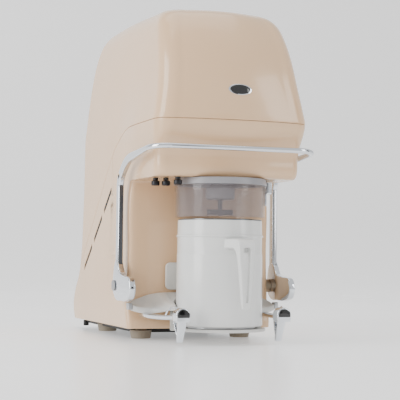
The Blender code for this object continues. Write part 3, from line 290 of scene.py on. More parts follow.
def bake(obj, sharp=35):
    """Replace an object's mesh by its evaluated one and drop the modifiers."""
    bpy.context.view_layer.update()
    evaluated = obj.evaluated_get(bpy.context.evaluated_depsgraph_get())
    mesh = bpy.data.meshes.new_from_object(evaluated)
    obj.modifiers.clear()
    obj.data = mesh
    mesh.name = obj.name
    mesh.shade_smooth()
    mesh.set_sharp_from_angle(angle=math.radians(sharp))
    return obj


def boolean(obj, operation, *tools):
    """Cut or join with other pieces, which are used up."""
    for tool in tools:
        modifier = obj.modifiers.new(operation.lower(), "BOOLEAN")
        modifier.operation = operation
        modifier.object = tool
        bake(obj)
        bpy.data.objects.remove(tool)
    return obj


def shell(name, outer, inner, closed):
    """Closed thin wall from matching outer and inner lines, one line to a column."""
    count, rows, inner_rows = len(outer), len(outer[0]), len(inner[0])
    vertices = [p for line in outer for p in line] + [p for line in inner for p in line]
    start = count * rows

    def out(i, j):
        return (i % count) * rows + j

    def inn(i, j):
        return start + (i % count) * inner_rows + j
    faces = []
    for i in range(count if closed else count - 1):
        faces += [(out(i, j), out(i + 1, j), out(i + 1, j + 1), out(i, j + 1))
                  for j in range(rows - 1)]
        faces += [(inn(i, j), inn(i, j + 1), inn(i + 1, j + 1), inn(i + 1, j))
                  for j in range(inner_rows - 1)]
        faces.append((out(i, 0), inn(i, 0), inn(i + 1, 0), out(i + 1, 0)))
        if not closed:
            faces.append((out(i, rows - 1), out(i + 1, rows - 1), inn(i + 1, inner_rows - 1),
                          inn(i, inner_rows - 1)))
    if closed:
        faces.append(tuple(out(i, rows - 1) for i in range(count)))
        faces.append(tuple(inn(i, inner_rows - 1) for i in reversed(range(count))))
    else:
        for i in (0, count - 1):
            edge = [out(i, j) for j in range(rows)] + [inn(i, j) for j in reversed(range(inner_rows))]
            faces.append(tuple(edge))
    return new_piece(name, mesh_from(name, vertices, faces))


def mirrored(columns):
    """Add the left half to columns whose first one is at the front's middle."""
    left = [[Vector((-p.x, p.y, p.z)) for p in line] for line in columns]
    return left[:0:-1] + columns


outer_columns, inner_columns = casing_columns(0), casing_columns(WALL)
FRONT_END = FRONT_COUNT + FLANK_COUNT - 1

hood_outer, hood_inner = [], []
for out_line, in_line in zip(outer_columns, inner_columns):
    inner_line = spread(part_column(in_line, True), 60, 0)
    outer_line = spread(part_column(out_line, True), 110, 0)
    hood_inner.append(inner_line)
    hood_outer.append(with_lip(outer_line, (inner_line[0], None), True, False))
hood = shell("hood", mirrored(hood_outer)[::-1], mirrored(hood_inner)[::-1], True)

front_outer, front_inner = [], []
for out_line, in_line in zip(outer_columns[:FRONT_END], inner_columns[:FRONT_END]):
    inner_line = spread(soften(part_column(in_line, False), 3), 70)
    outer_line = spread(soften(part_column(out_line, False), 7), 110, 30 * mm)
    front_inner.append(inner_line)
    front_outer.append(with_lip(outer_line, (inner_line[0], inner_line[-1]), True, True))
front_casing = shell("front_cover", mirrored(front_outer), mirrored(front_inner), False)


def side_panel(name, side):
    outer, inner = [], []
    for out_line, in_line in zip(outer_columns[FRONT_END:], inner_columns[FRONT_END:]):
        inner_line = spread(part_column(in_line, False), 30, 0)
        outer_line = spread(part_column(out_line, False), 60, 0)
        inner.append([Vector((side * p.x, p.y, p.z)) for p in inner_line])
        line = with_lip(outer_line, (inner_line[0], inner_line[-1]), True, True)
        outer.append([Vector((side * p.x, p.y, p.z)) for p in line])
    return shell(name, outer, inner, False)


side_covers = [side_panel("side_cover_left", -1), side_panel("side_cover_right", 1)]


def bridge(bm, rings, looped=False):
    """Join each ring of vertices to the next; the ends are capped, or meet if looped."""
    for a, b in zip(rings, rings[1:] + (rings[:1] if looped else [])):
        for i in range(len(a)):
            j = (i + 1) % len(a)
            bm.faces.new((a[i], a[j], b[j], b[i]))
    if not looped:
        bm.faces.new(rings[0][::-1])
        bm.faces.new(rings[-1])
    return bm


def outline_plate(outline, axis, low, high, radius, steps=4):
    """Plate from a closed outline (the other two axes in XYZ order) with rounded edges."""
    low, high = sorted((low, high))
    points = [Vector(p) for p in outline]
    count = len(points)
    area = sum(a.x * b.y - b.x * a.y for a, b in zip(points, points[1:] + points[:1]))
    if area < 0:
        points.reverse()
    normals = []
    for i, p in enumerate(points):
        a, b = (p - points[i - 1]).normalized(), (points[(i + 1) % count] - p).normalized()
        n = Vector((a.y + b.y, -a.x - b.x)).normalized()
        normals.append(n / max(n.dot(Vector((a.y, -a.x))), 0.5))
    sections = []
    for i in range(steps + 1):
        a = math.pi / 2 * i / steps
        sections.append((radius * (1 - math.sin(a)), low + radius * (1 - math.cos(a))))
    sections += [(inset, high - (at - low)) for inset, at in reversed(sections)]
    bm = bmesh.new()
    rings = []
    for inset, at in sections:
        ring = []
        for p, n in zip(points, normals):
            place = list(p - n * inset)
            place.insert("XYZ".index(axis), at)
            ring.append(bm.verts.new(place))
        rings.append(ring)
    return bridge(bm, rings)


def plate(name, *shape):
    """A piece that is one plate."""
    return new_piece(name, outline_plate(*shape))


def in_mm(points):
    """Points written in millimetres, as metres."""
    return [tuple(v * mm for v in p) for p in points]


def arc(centre, radii, first, last, steps):
    """Points along part of an ellipse; first and last are angles in degrees."""
    angles = [math.radians(lerp(first, last, i / steps)) for i in range(steps + 1)]
    return [Vector((centre[0] + radii[0] * math.cos(a), centre[1] + radii[1] * math.sin(a)))
            for a in angles]


def smooth_outline(points, spacing=2 * mm):
    """Closed smooth curve through a few points."""
    ring = [tuple(p) for p in points]
    looped = curve_through(ring[-2:] + ring + ring[:2], spacing)
    lead = len(curve_through(ring[-2:] + ring + ring[:1], spacing)) - 1
    tail = len(curve_through(ring[-2:] + ring[:1], spacing)) - 1
    return [Vector(p) for p in looped[tail:lead]]


def rounded_rectangle(x0, y0, x1, y1, radius, steps=6):
    centres = ((x1 - radius, y0 + radius), (x1 - radius, y1 - radius),
               (x0 + radius, y1 - radius), (x0 + radius, y0 + radius))
    return [p for quarter, centre in enumerate(centres)
            for p in arc(centre, (radius, radius), 90 * quarter - 90, 90 * quarter, steps)]


def turned(name, profile, centre=(0, 0), axis="Z", sides=96, sharp=35):
    """Turn a closed (radius, height) profile about an axis through centre."""
    bm = bmesh.new()
    rings = []
    for i in range(sides):
        a = math.tau * i / sides
        ring = []
        for r, h in profile:
            place = [centre[0] + r * math.cos(a), centre[1] + r * math.sin(a)]
            place.insert("XYZ".index(axis), h)
            ring.append(bm.verts.new(place))
        rings.append(ring)
    for a, b in zip(rings, rings[1:] + rings[:1]):
        for i in range(len(profile)):
            j = (i + 1) % len(profile)
            if profile[i][0] > 0 or profile[j][0] > 0:
                bm.faces.new((a[i], b[i], b[j], a[j]))
    return new_piece(name, bm, sharp)


def rounded_profile(points, radius, steps=4):
    """Closed profile with every off-axis corner rounded."""
    made = []
    count = len(points)
    for i, (r, h) in enumerate(points):
        corner = Vector((r, h))
        before, after = Vector(points[i - 1]), Vector(points[(i + 1) % count])
        if r < 1e-6:
            made.append((r, h))
            continue
        reach = min(radius, (before - corner).length * 0.45, (after - corner).length * 0.45)
        start = corner + (before - corner).normalized() * reach
        end = corner + (after - corner).normalized() * reach
        for k in range(steps + 1):
            t = k / steps
            p = start.lerp(corner, t).lerp(corner.lerp(end, t), t)
            made.append((p.x, p.y))
    return made


VENT_LINE = ((197 * mm, 253 * mm), (370 * mm, 115 * mm))
VENT_COUNT, VENT_SHARE, VENT_TALL, VENT_CORNER = 3, 0.8, 9.5 * mm, 2.2 * mm
VENT_PITCH = 1 / (VENT_COUNT - 1 + VENT_SHARE)


def vent_outline(number, grow=0.0):
    """One slot: a slanted strip with round-ended corners."""
    a, b = (Vector(p) for p in VENT_LINE)
    along = (b - a).normalized()
    start = a.lerp(b, number * VENT_PITCH) - along * grow
    end = a.lerp(b, (number + VENT_SHARE) * VENT_PITCH) + along * grow
    rise, drop = Vector((0, grow)), Vector((0, -VENT_TALL - grow))
    return rounded_profile([start + rise, end + rise, end + drop, start + drop], VENT_CORNER)


for cover, side in zip(side_covers, (-1, 1)):
    boolean(cover, "DIFFERENCE", *[
        plate("vent_cutter", vent_outline(i), "X", side * 100 * mm, side * 140 * mm, 0.1 * mm, 1)
        for i in range(VENT_COUNT)])

grille_hole = rounded_rectangle(-80 * mm, 146 * mm, 80 * mm, 338 * mm, 8 * mm)
boolean(hood, "DIFFERENCE",
        plate("grille_cutter", grille_hole, "Y", 366 * mm, 440 * mm, 0.1 * mm, 1))

PIVOT = (106 * mm, 86 * mm)    # the bail's axis, as machine Y and Z
bore = in_mm([(0, 240), (38, 240), (38, 275), (0, 275)])
bush_hole = in_mm([(0, -160), (11.4, -160), (11.4, 160), (0, 160)])
window = rounded_rectangle(-24 * mm, 82 * mm, 24 * mm, 142 * mm, 4 * mm)
boolean(front_casing, "DIFFERENCE",
        turned("bore_cutter", bore, sides=90),
        turned("bush_cutter", bush_hole, PIVOT, "X", 48),
        plate("window_cutter", window, "Y", 76 * mm, 100 * mm, 0.1 * mm, 1))


class Tap:
    """A shader socket that takes part in arithmetic; each operator adds a Math node."""

    def __init__(self, finish, socket):
        self.finish, self.socket = finish, socket

    def math(self, operation, *values):
        inputs = dict(enumerate(values))
        return self.finish.node("Math", {"operation": operation}, inputs)

    def __add__(self, other):
        return self.math("ADD", self, other)

    def __sub__(self, other):
        return self.math("SUBTRACT", self, other)

    def __rsub__(self, other):
        return self.math("SUBTRACT", other, self)

    def __mul__(self, other):
        return self.math("MULTIPLY", self, other)

    __radd__, __rmul__ = __add__, __mul__


class Finish:
    """A surface finish: a Principled material whose nodes are added one by one."""

    def __init__(self, name, **sockets):
        self.material = bpy.data.materials.new(name)
        self.material.use_nodes = True
        self.tree = self.material.node_tree
        self.shader = self.tree.nodes["Principled BSDF"]
        self.place = self.node("TexCoord", output="Object")
        for key, value in sockets.items():
            self.set(key.replace("_", " ").title(), value)

    def set(self, name, value):
        self.put(self.shader.inputs[name.replace("Ior", "IOR")], value)

    def put(self, socket, value):
        if isinstance(value, Tap):
            self.tree.links.new(value.socket, socket)
        elif isinstance(value, tuple) and len(value) == 3 and len(socket.default_value) == 4:
            socket.default_value = (*value, 1)
        else:
            socket.default_value = value

    def node(self, kind, settings=None, inputs=None, output=0):
        made = self.tree.nodes.new("ShaderNode" + kind)
        for key, value in (settings or {}).items():
            if key == "stops":
                ramp = made.color_ramp
                ramp.elements.remove(ramp.elements[1])
                ramp.elements[0].position, ramp.elements[0].color = value[0]
                for at, colour in value[1:]:
                    ramp.elements.new(at).color = colour
            else:
                setattr(made, key, value)
        for key, value in (inputs or {}).items():
            self.put(made.inputs[key], value)
        return Tap(self, made.outputs[output])

    def noise(self, scale, detail=2.0, stretch=None):
        place = self.place
        if stretch:
            place = self.node("Mapping", inputs={"Vector": place, "Scale": stretch})
        return self.node("TexNoise", inputs={"Vector": place, "Scale": scale, "Detail": detail})

    def mix(self, factor, a, b):
        return self.node("Mix", {"data_type": "RGBA"}, {0: factor, 6: a, 7: b}, 2)

    def bump(self, height, distance, strength=1.0):
        self.set("Normal", self.node("Bump", inputs={"Height": height, "Distance": distance,
                                                     "Strength": strength}))
        return self


def tint(hexcode):
    """Linear colour from a six-digit sRGB code."""
    parts = [int(hexcode[i:i + 2], 16) / 255 for i in (0, 2, 4)]
    return tuple(c / 12.92 if c < 0.04045 else ((c + 0.055) / 1.055) ** 2.4 for c in parts)


def cream_enamel():
    """Glossy cream moulding: faint orange peel, and gloss that wanders a little with handling."""
    finish = Finish("cream_enamel", coat_weight=0.35, coat_roughness=0.06)
    cloud = finish.noise(9, 3)
    grain = finish.noise(420, 1)
    finish.set("Base Color", finish.mix(cloud, tint("E0B98F"), tint("E4C09A")))
    finish.set("Roughness", 0.17 + cloud * 0.07 + grain * 0.02)
    return finish.bump(finish.noise(260, 2), 0.00002, 0.35).material


ENAMEL = cream_enamel()


def dress(piece, material, body, slot, *replaced):
    """Give a finished piece its material, its body and the CAD nodes it stands for; slot is not used."""
    piece.data.materials.clear()
    piece.data.materials.append(material)
    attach(piece, body)
    if replaced:
        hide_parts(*replaced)
    return piece


dress(hood, ENAMEL, "root", "cream_enamel", "top_cover")
dress(front_casing, ENAMEL, "root", "cream_enamel", "front_casing")
dress(side_covers[0], ENAMEL, "root", "cream_enamel", "left_side_panel")
dress(side_covers[1], ENAMEL, "root", "cream_enamel", "right_side_panel")

# ---- Badge ------------------------------------------------------------------------------
# A plain oval plate, 0.8 mm thick, glued to the hood's front; a bright rim round a dark
# enamel field with nothing on it.
BADGE_X, BADGE_Z = 4 * mm, 386 * mm
BADGE_HALF = (19 * mm, 8.5 * mm)


def badge(name, share, proud):
    """Oval that follows the hood's front, standing proud of it."""
    bpy.context.view_layer.update()
    bm = bmesh.new()
    profile = [(share, -1 * mm), (share, proud * 0.5), (share - 0.04, proud), (share * 0.6, proud),
               (share * 0.3, proud), (0.02, proud), (0.02, -1 * mm), (share * 0.5, -1 * mm)]
    rings = []
    for size, out in profile:
        ring = []
        for i in range(64):
            a = math.tau * i / 64
            x = BADGE_X + BADGE_HALF[0] * size * math.cos(a)
            z = BADGE_Z + BADGE_HALF[1] * size * math.sin(a)
            place, normal = hood.ray_cast(Vector((x, -1, z)), Vector((0, 1, 0)))[1:3]
            ring.append(bm.verts.new(place + normal * out - Vector((0, AXIS_Y, 0))))
        rings.append(ring)
    return new_piece(name, bridge(bm, rings, looped=True))


def polished(name, colour, roughness, streak):
    """Bright metal whose gloss is broken by fine wiping marks."""
    finish = Finish(name, base_color=colour, metallic=1.0)
    marks = finish.noise(60, 4, (1, 1, 9))
    haze = finish.noise(11, 2)
    finish.set("Roughness", roughness + marks * streak + haze * streak * 0.5)
    return finish.bump(finish.noise(300, 2, (1, 1, 6)), 0.00001, 0.25).material


def moulded(name, low, high, roughness, grain, depth, coat=0.0):
    """Moulded plastic or rubber: two close tones and a fine surface grain."""
    finish = Finish(name, coat_weight=coat)
    cloud = finish.noise(14, 3)
    finish.set("Base Color", finish.mix(cloud, low, high))
    finish.set("Roughness", roughness + finish.noise(70, 3) * 0.1)
    return finish.bump(finish.noise(grain, 2), depth, 0.5).material


CHROME = polished("chrome", tint("DFE3E8"), 0.03, 0.05)
BLACK_GLOSS = moulded("black_gloss", tint("0C0C0D"), tint("161617"), 0.08, 500, 0.00001, 0.5)
dress(badge("badge_rim", 1.0, 0.5 * mm), CHROME, "root", "chrome")
dress(badge("badge_field", 0.88, 0.8 * mm), BLACK_GLOSS, "root", "black_plastic")

# ---- Vent louvres -------------------------------------------------------------------------
# Black strips behind the side panels' slots are painted shade that makes the slots read dark;
# upright black ribs keep fingers out and let the condenser breathe.
BLACK = moulded("black_plastic", tint("131313"), tint("1E1D1C"), 0.5, 240, 0.00006)


def repeat_tree(name, shape, sizes, material):
    """Geometry Nodes that stand one small solid on every point of a mesh."""
    tree = bpy.data.node_groups.new(name, "GeometryNodeTree")
    tree.interface.new_socket(name="Points", in_out="INPUT", socket_type="NodeSocketGeometry")
    keys = {}
    for label, (kind, value) in sizes.items():
        item = tree.interface.new_socket(name=label, in_out="INPUT", socket_type=kind)
        item.default_value = value
        keys[label] = item.identifier
    tree.interface.new_socket(name="Solids", in_out="OUTPUT", socket_type="NodeSocketGeometry")
    start, end = tree.nodes.new("NodeGroupInput"), tree.nodes.new("NodeGroupOutput")
    solid = tree.nodes.new(shape["node"])
    for socket, value in shape["fixed"].items():
        solid.inputs[socket].default_value = value
    for socket, label in shape["sized"].items():
        tree.links.new(start.outputs[label], solid.inputs[socket])
    stand = tree.nodes.new("GeometryNodeInstanceOnPoints")
    real = tree.nodes.new("GeometryNodeRealizeInstances")
    paint = tree.nodes.new("GeometryNodeSetMaterial")
    paint.inputs["Material"].default_value = material
    for source, out, target, into in (
            (start, "Points", stand, "Points"), (solid, "Mesh", stand, "Instance"),
            (start, "Turn", stand, "Rotation"), (stand, "Instances", real, "Geometry"),
            (real, "Geometry", paint, "Geometry"), (paint, "Geometry", end, "Solids")):
        tree.links.new(source.outputs[out], target.inputs[into])
    return tree, keys


def repeat(name, points, tree_and_keys, body, values, replaced=()):
    """Run the tree over machine-coordinate points and keep the result as a plain mesh."""
    tree, keys = tree_and_keys
    obj = linked(name, mesh_from(name, [Vector(p) + Vector((0, AXIS_Y, 0)) for p in points], []))
    modifier = obj.modifiers.new("repeat", "NODES")
    modifier.node_group = tree
    for label, value in values.items():
        modifier[keys[label]] = value
    bake(obj)
    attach(obj, body)
    if replaced:
        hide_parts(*replaced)
    return obj


BAR = {"node": "GeometryNodeMeshCube", "fixed": {}, "sized": {"Size": "Size"}}
BAR_SIZES = {"Size": ("NodeSocketVector", (mm, mm, mm)), "Turn": ("NodeSocketRotation", (0, 0, 0))}
LOUVRE = repeat_tree("louvre_ribs", BAR, BAR_SIZES, BLACK)
SIDES = ((-1, "left"), (1, "right"))
(y0, z0), (y1, z1) = VENT_LINE
for side, word in SIDES:
    for number in range(VENT_COUNT):
        # Painted shade: a black strip behind each slot.
        shade_backing = plate("vent_painted_shade_%s_%d" % (word, number + 1), vent_outline(number, -0.3 * mm), "X",
                        side * 113.5 * mm, side * 117.9 * mm, 0.3 * mm, 2)
        dress(shade_backing, BLACK, "root", "black_plastic")
    ribs = []
    for number in range(VENT_COUNT):
        for i in range(1, 8):
            t = (number + VENT_SHARE * i / 8) * VENT_PITCH
            ribs.append((side * 118 * mm, lerp(y0, y1, t), lerp(z0, z1, t) - VENT_TALL / 2))
    repeat("vent_ribs_" + word, ribs, LOUVRE, "root",
           {"Size": (0.6 * mm, 1.2 * mm, VENT_TALL - 2 * mm)})

# ---- Rear panel, its screws, mains inlet and rocker ------------------------------------------
# A grey moulded service panel screwed behind the hood's rear opening.  The louvres in front
# of the condenser, the inlet's hole and the rocker's hole are moulded in.
GREY = moulded("grey_plastic", tint("8B8A8E"), tint("979599"), 0.3, 200, 0.00006)


def finish_nodes(material, *names):
    """Give carried-over CAD nodes their surface."""
    for name in names:
        for slot in nodes[name].material_slots:
            slot.material = material


finish_nodes(GREY, "rear_panel")
finish_nodes(BLACK, "power_inlet", "power_rocker")
SCREW_STEEL = polished("screw_steel", tint("A9AAAB"), 0.22, 0.15)
HEAD = {"node": "GeometryNodeMeshCone",
        "fixed": {"Vertices": 24, "Side Segments": 2, "Fill Segments": 1},
        "sized": {"Radius Bottom": "Radius", "Radius Top": "Crown", "Depth": "Height"}}
HEAD_SIZES = {"Radius": ("NodeSocketFloat", 4 * mm), "Crown": ("NodeSocketFloat", 3 * mm),
              "Height": ("NodeSocketFloat", 2 * mm), "Turn": ("NodeSocketRotation", (0, 0, 0))}
SCREWS = repeat_tree("screw_heads", HEAD, HEAD_SIZES, SCREW_STEEL)
face_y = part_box("rear_panel")[1].y - AXIS_Y + 0.1 * mm
corners = [(x, face_y, z) for x in (-71 * mm, 71 * mm) for z in (154 * mm, 242 * mm, 331 * mm)]
repeat("rear_panel_screws", corners, SCREWS, "root",
       {"Radius": 3.4 * mm, "Crown": 2.4 * mm, "Height": 1.8 * mm, "Turn": (-math.pi / 2, 0, 0)})

# ---- Base plate and feet -----------------------------------------------------------------------
# A base under the casings, coloured black, on four turned rubber feet pushed over studs.
plate_low, plate_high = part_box("base_plate")
half, back_y, front_y = plate_high.x, plate_high.y - AXIS_Y, plate_low.y - AXIS_Y
FOOT_R, FOOT_X, FOOT_Y = 18 * mm, 86 * mm, {"front": 130 * mm, "rear": 329 * mm}
base_outline = rounded_rectangle(-half + 16 * mm, front_y + 38 * mm, half - 16 * mm, back_y, 12 * mm, 8)
base = plate("base_pan", base_outline, "Z", 9.5 * mm, 17.6 * mm, 1.5 * mm)
pocket_r = FOOT_R / mm + 0.4
pocket = in_mm([(0, 5), (pocket_r, 5), (pocket_r, 14), (10, 14), (10, 16), (0, 16)])
boolean(base, "DIFFERENCE", *[turned("pocket", pocket, (x, y), sides=64)
                              for x in (-FOOT_X, FOOT_X) for y in FOOT_Y.values()])
stud = in_mm(rounded_profile([(0, 4), (5, 4), (5, 14), (0, 14)], 1))
studs = [turned("stud", stud, (x, 424 * mm), sides=32) for x in (-100 * mm, 100 * mm)]
dress(boolean(base, "UNION", *studs), BLACK, "root", "black_plastic", "base_plate")

TAUPE = moulded("taupe_rubber", tint("8F8474"), tint("9A8F7E"), 0.55, 320, 0.00005)
foot_profile = rounded_profile(
    [(0, 0.6 * mm), (9 * mm, 0.6 * mm), (10 * mm, 0), (FOOT_R - 2.5 * mm, 0), (FOOT_R - 2 * mm, 1.5 * mm),
     (FOOT_R, 13.6 * mm), (9.5 * mm, 13.6 * mm), (9.5 * mm, 15.6 * mm), (0, 15.6 * mm)], 1 * mm)
for end, y in FOOT_Y.items():
    for side, x in (("left", -FOOT_X), ("right", FOOT_X)):
        foot = turned("foot_rubber_%s_%s" % (end, side), foot_profile, (x, y))
        dress(foot, TAUPE, "root", "taupe_rubber", "foot_%s_%s" % (end, side))

# ---- Bail --------------------------------------------------------------------------------------
# One bar of chromed steel: round across the front, flattened down the sides, let into two
# chromed castings that pivot beside the column.  Each arm has a long groove with the same inlay;
# its colour is painted reflection, dark at the left and bright at the right.
BAIL_X = 133 * mm
ARM_Y = 99 * mm
TUBE_R = 4.2 * mm


def fillet(points, radii, steps=8):
    """A path through the points whose inner corners are arcs."""
    points = [Vector(p) for p in points]
    path = [points[0]]
    for before, corner, after, radius in zip(points, points[1:], points[2:], radii):
        a, b = (before - corner).normalized(), (after - corner).normalized()
        half_angle = a.angle(b) / 2
        centre = corner + (a + b).normalized() * (radius / math.sin(half_angle))
        start = corner + a * (radius / math.tan(half_angle)) - centre
        end = corner + b * (radius / math.tan(half_angle)) - centre
        turn = start.angle(end)
        for i in range(steps + 1):
            t = i / steps
            path.append(centre + (start * math.sin((1 - t) * turn) + end * math.sin(t * turn))
                        / math.sin(turn))
    return path + [points[-1]]


def sweep(path, section, across):
    """Closed bar along a path; section(share) gives its outline as (across, up) points."""
    bm = bmesh.new()
    rings = []
    path, across = [Vector(p) for p in path], Vector(across)
    lengths = [0.0]
    for a, b in zip(path, path[1:]):
        lengths.append(lengths[-1] + (b - a).length)
    for i, point in enumerate(path):
        ahead = (path[min(i + 1, len(path) - 1)] - point).normalized()
        behind = (point - path[max(i - 1, 0)]).normalized()
        tangent = (ahead + behind).normalized()
        across = (across - tangent * across.dot(tangent)).normalized()
        up = across.cross(tangent)
        rings.append([bm.verts.new(point + across * u + up * v)
                      for u, v in section(lengths[i] / lengths[-1])])
    return bridge(bm, rings)


def resample(path, spacing):
    path = [Vector(p) for p in path]
    made = [path[0]]
    for a, b in zip(path, path[1:]):
        steps = max(1, math.ceil((b - a).length / spacing))
        made += [a.lerp(b, i / steps) for i in range(1, steps + 1)]
    return made


def bail_path():
    arm = [(-BAIL_X, ARM_Y, 108 * mm), (-BAIL_X, ARM_Y, 252 * mm), (-BAIL_X, 70 * mm, 284 * mm),
           (-BAIL_X, -72 * mm, 297 * mm)]
    right = [(-x, y, z) for x, y, z in reversed(arm)]
    radii = [26 * mm, 90 * mm, 30 * mm, 30 * mm, 90 * mm, 26 * mm]
    return resample(fillet(arm + right, radii, 12), 8 * mm)


def bail_section(share):
    """Flat 9 by 14 mm bar at the ends, round tube in the middle."""
    side = min(share, 1 - share)
    t = ease(side, 0.20, 0.36)
    wide, deep = lerp(4.5 * mm, TUBE_R, t), lerp(7 * mm, TUBE_R, t)
    radius = lerp(2.4 * mm, TUBE_R - 0.01 * mm, t)
    return rounded_rectangle(-wide, -deep, wide, deep, radius)


def casting(side):
    """Boot-shaped end of an arm, thicker than the bar towards the outside."""
    boot = smooth_outline([(106.5, 121), (112.5, 106), (115.5, 91), (113, 76), (101, 65), (72, 62.5),
                           (46, 63), (27, 69), (20.5, 83), (27, 97), (56, 102), (79, 107),
                           (90, 121), (99, 128)], 3)
    low, high = side * (BAIL_X - 4.5 * mm), side * (BAIL_X + 6 * mm)
    return plate("boot", [p * mm for p in boot], "X", low, high, 2.2 * mm, 5)


bail = new_piece("bail_bar", sweep(bail_path(), bail_section, (1, 0, 0)))
boolean(bail, "UNION", casting(-1), casting(1))
front_face = ARM_Y - 7 * mm
grooves = []
for x in (-BAIL_X, BAIL_X):
    strip = rounded_rectangle(x - 3.4 * mm, 118 * mm, x + 3.4 * mm, 246 * mm, 2 * mm)
    grooves.append(plate("groove", strip, "Y", front_face - 3 * mm, front_face + 1.4 * mm, 0.05 * mm, 1))
boolean(bail, "DIFFERENCE", *grooves)
dress(bail, CHROME, "bail", "chrome", "bail_tube", "bail_arm_left", "bail_arm_right")

# Painted reflection: both arms' inlays are one part, coloured dark at the left and bright at the right.
DARK_REFLECTION_INLAY = moulded("inlay", tint("3A3D41"), tint("484B50"), 0.3, 200, 0.00003, 0.3)
BRIGHT_REFLECTION_INLAY = polished("inlay_painted_bright_reflection", tint("B4B6BA"), 0.15, 0.1)
for (side, word), reflection_finish, slot in zip(SIDES, (DARK_REFLECTION_INLAY, BRIGHT_REFLECTION_INLAY), ("black_plastic", "steel")):
    x = side * BAIL_X
    strip = rounded_rectangle(x - 3.2 * mm, 118.2 * mm, x + 3.2 * mm, 245.8 * mm, 1.8 * mm)
    inlay = plate("arm_inlay_" + word, strip, "Y", front_face + 0.5 * mm, front_face + 1.3 * mm,
                  0.2 * mm, 2)
    dress(inlay, reflection_finish, "bail", slot)

# ---- Cap screws -----------------------------------------------------------------------------------
# Turned steel heads, each with a driving slot across it, that hold the bail's castings on the
# ends of the cross shaft.
STEEL = polished("steel", tint("B9BABB"), 0.2, 0.14)
for side, word in SIDES:
    face, end = side * (BAIL_X + 6.4 * mm), side * (BAIL_X + 8.4 * mm)
    tip = side * (BAIL_X + 3.4 * mm)
    head = [(0, tip), (6 * mm, tip), (6 * mm, face), (8.5 * mm, face), (8.5 * mm, end), (0, end)]
    screw = turned("cap_screw_" + word, rounded_profile(head, 0.7 * mm), PIVOT, "X", 48)
    slot_cut = rounded_rectangle(97 * mm, 85.1 * mm, 115 * mm, 86.9 * mm, 0.2 * mm, 1)
    boolean(screw, "DIFFERENCE",
            plate("slot", slot_cut, "X", end - 1 * mm, end + 1 * mm, 0.02 * mm, 1))
    dress(screw, SCREW_STEEL, "bail", "steel", "pivot_screw_" + word)
finish_nodes(STEEL, "lift_shaft", "lift_crank_left", "lift_crank_right", "guide_rod_left",
             "guide_rod_right", "spindle_bearing")

# ---- Cradle --------------------------------------------------------------------------------------
# A saddle-shaped aluminium casting, enamelled off-white: a cup wall behind the mug's foot,
# two wings that sweep out to square pins, and a plate that rides up the column.
CASTING = moulded("cast_enamel", tint("C9C8C3"), tint("D6D5D1"), 0.28, 150, 0.00008, 0.35)
CUP_IN, CUP_OUT = 69.5 * mm, 76 * mm


def saddle():
    """Strip between the wings' front edge, which then follows the mug, and the back edge."""
    front = [(120.5, 63, 56.5), (111, 57, 53), (100, 50.5, 51.5), (89, 41, 52.5), (80, 27, 55),
             (75, 10, 57.5), (71.5, 0, 58), (66, 24, 63), (54, 45, 69), (34, 62, 73), (0, 71, 75)]
    back = [(120.5, 82, 61), (113, 84, 65), (104, 84, 68.5), (92, 84, 73), (80, 84, 75.5),
            (74, 84, 76.5), (66, 84, 77), (56, 84, 77), (42, 84, 77), (22, 84, 77), (0, 84, 77)]
    lines = list(zip(front, back))
    lines = lines + [((-a, b, c), (-d, e, f)) for (a, b, c), (d, e, f) in reversed(lines[:-1])]
    rows = curve_through([f + b for f, b in lines], 4)
    bm = bmesh.new()
    rings = []
    for row in rows:
        f, b = Vector(row[:3]) * mm, Vector(row[3:]) * mm
        ring = []
        for t, drop in ((0.0, 4.5), (0.01, 2), (0.045, 0.4), (0.1, 0), (0.3, -0.2), (0.5, 0.2),
                        (0.7, 0), (0.9, 0), (0.955, 0.4), (0.99, 2), (1.0, 4.5), (0.99, 7),
                        (0.95, 8.7), (0.85, 9.4), (0.5, 9.8), (0.15, 9.4), (0.05, 8.7), (0.01, 7)):
            sag = 1.6 * math.sin(math.pi * t)
            ring.append(bm.verts.new(f.lerp(b, t) - Vector((0, 0, (drop + sag) * mm))))
        rings.append(ring)
    return new_piece("cradle_casting", bridge(bm, rings))


cradle = saddle()
cup = turned("cup", rounded_profile([(CUP_IN, 19.2 * mm), (CUP_OUT, 19.2 * mm), (CUP_OUT, 64 * mm),
                                     (CUP_IN, 64 * mm)], 1.5 * mm))
away = [(-120, 90), (-120, 10), (4, 10), (13, 30), (24, 44), (40, 53), (60, 75), (90, 82), (90, 90)]
away = [Vector(p) * mm for p in away]
boolean(cup, "DIFFERENCE", plate("away", away, "X", -100 * mm, 100 * mm, 0.1 * mm, 1))
floor_disc = turned("floor", rounded_profile([(0, 19.5 * mm), (72 * mm, 19.5 * mm), (72 * mm, 24 * mm),
                                              (0, 24 * mm)], 1.2 * mm))
riser_outline = rounded_rectangle(-61 * mm, 80 * mm, 61 * mm, 123.5 * mm, 8 * mm)
riser = plate("riser", riser_outline, "Y", 79 * mm, 84.6 * mm, 1.4 * mm)
web_outline = rounded_rectangle(-38 * mm, 58 * mm, 38 * mm, 92 * mm, 6 * mm)
web = plate("web", web_outline, "Y", 72 * mm, 84.2 * mm, 2 * mm)
boolean(cradle, "UNION", cup, floor_disc, riser, web)
dress(cradle, CASTING, "tray", "pale_casting", "tray")
finish_nodes(CASTING, "lift_yoke", "gearbox_housing", "gearbox_cover")
finish_nodes(STEEL, "cold_plate")

# ---- Wing pins ------------------------------------------------------------------------------------
# Square pins of plain steel let into the cradle's wing tips.  They guide the cradle beside
# the bail's castings.
pin_outline = rounded_rectangle(63 * mm, 49 * mm, 75 * mm, 60 * mm, 1.5 * mm)
for side, word in SIDES:
    pin = plate("wing_pin_" + word, pin_outline, "X", side * 120.9 * mm, side * 127.8 * mm, 1 * mm)
    dress(pin, STEEL, "tray", "steel", "tray_pin_" + word)
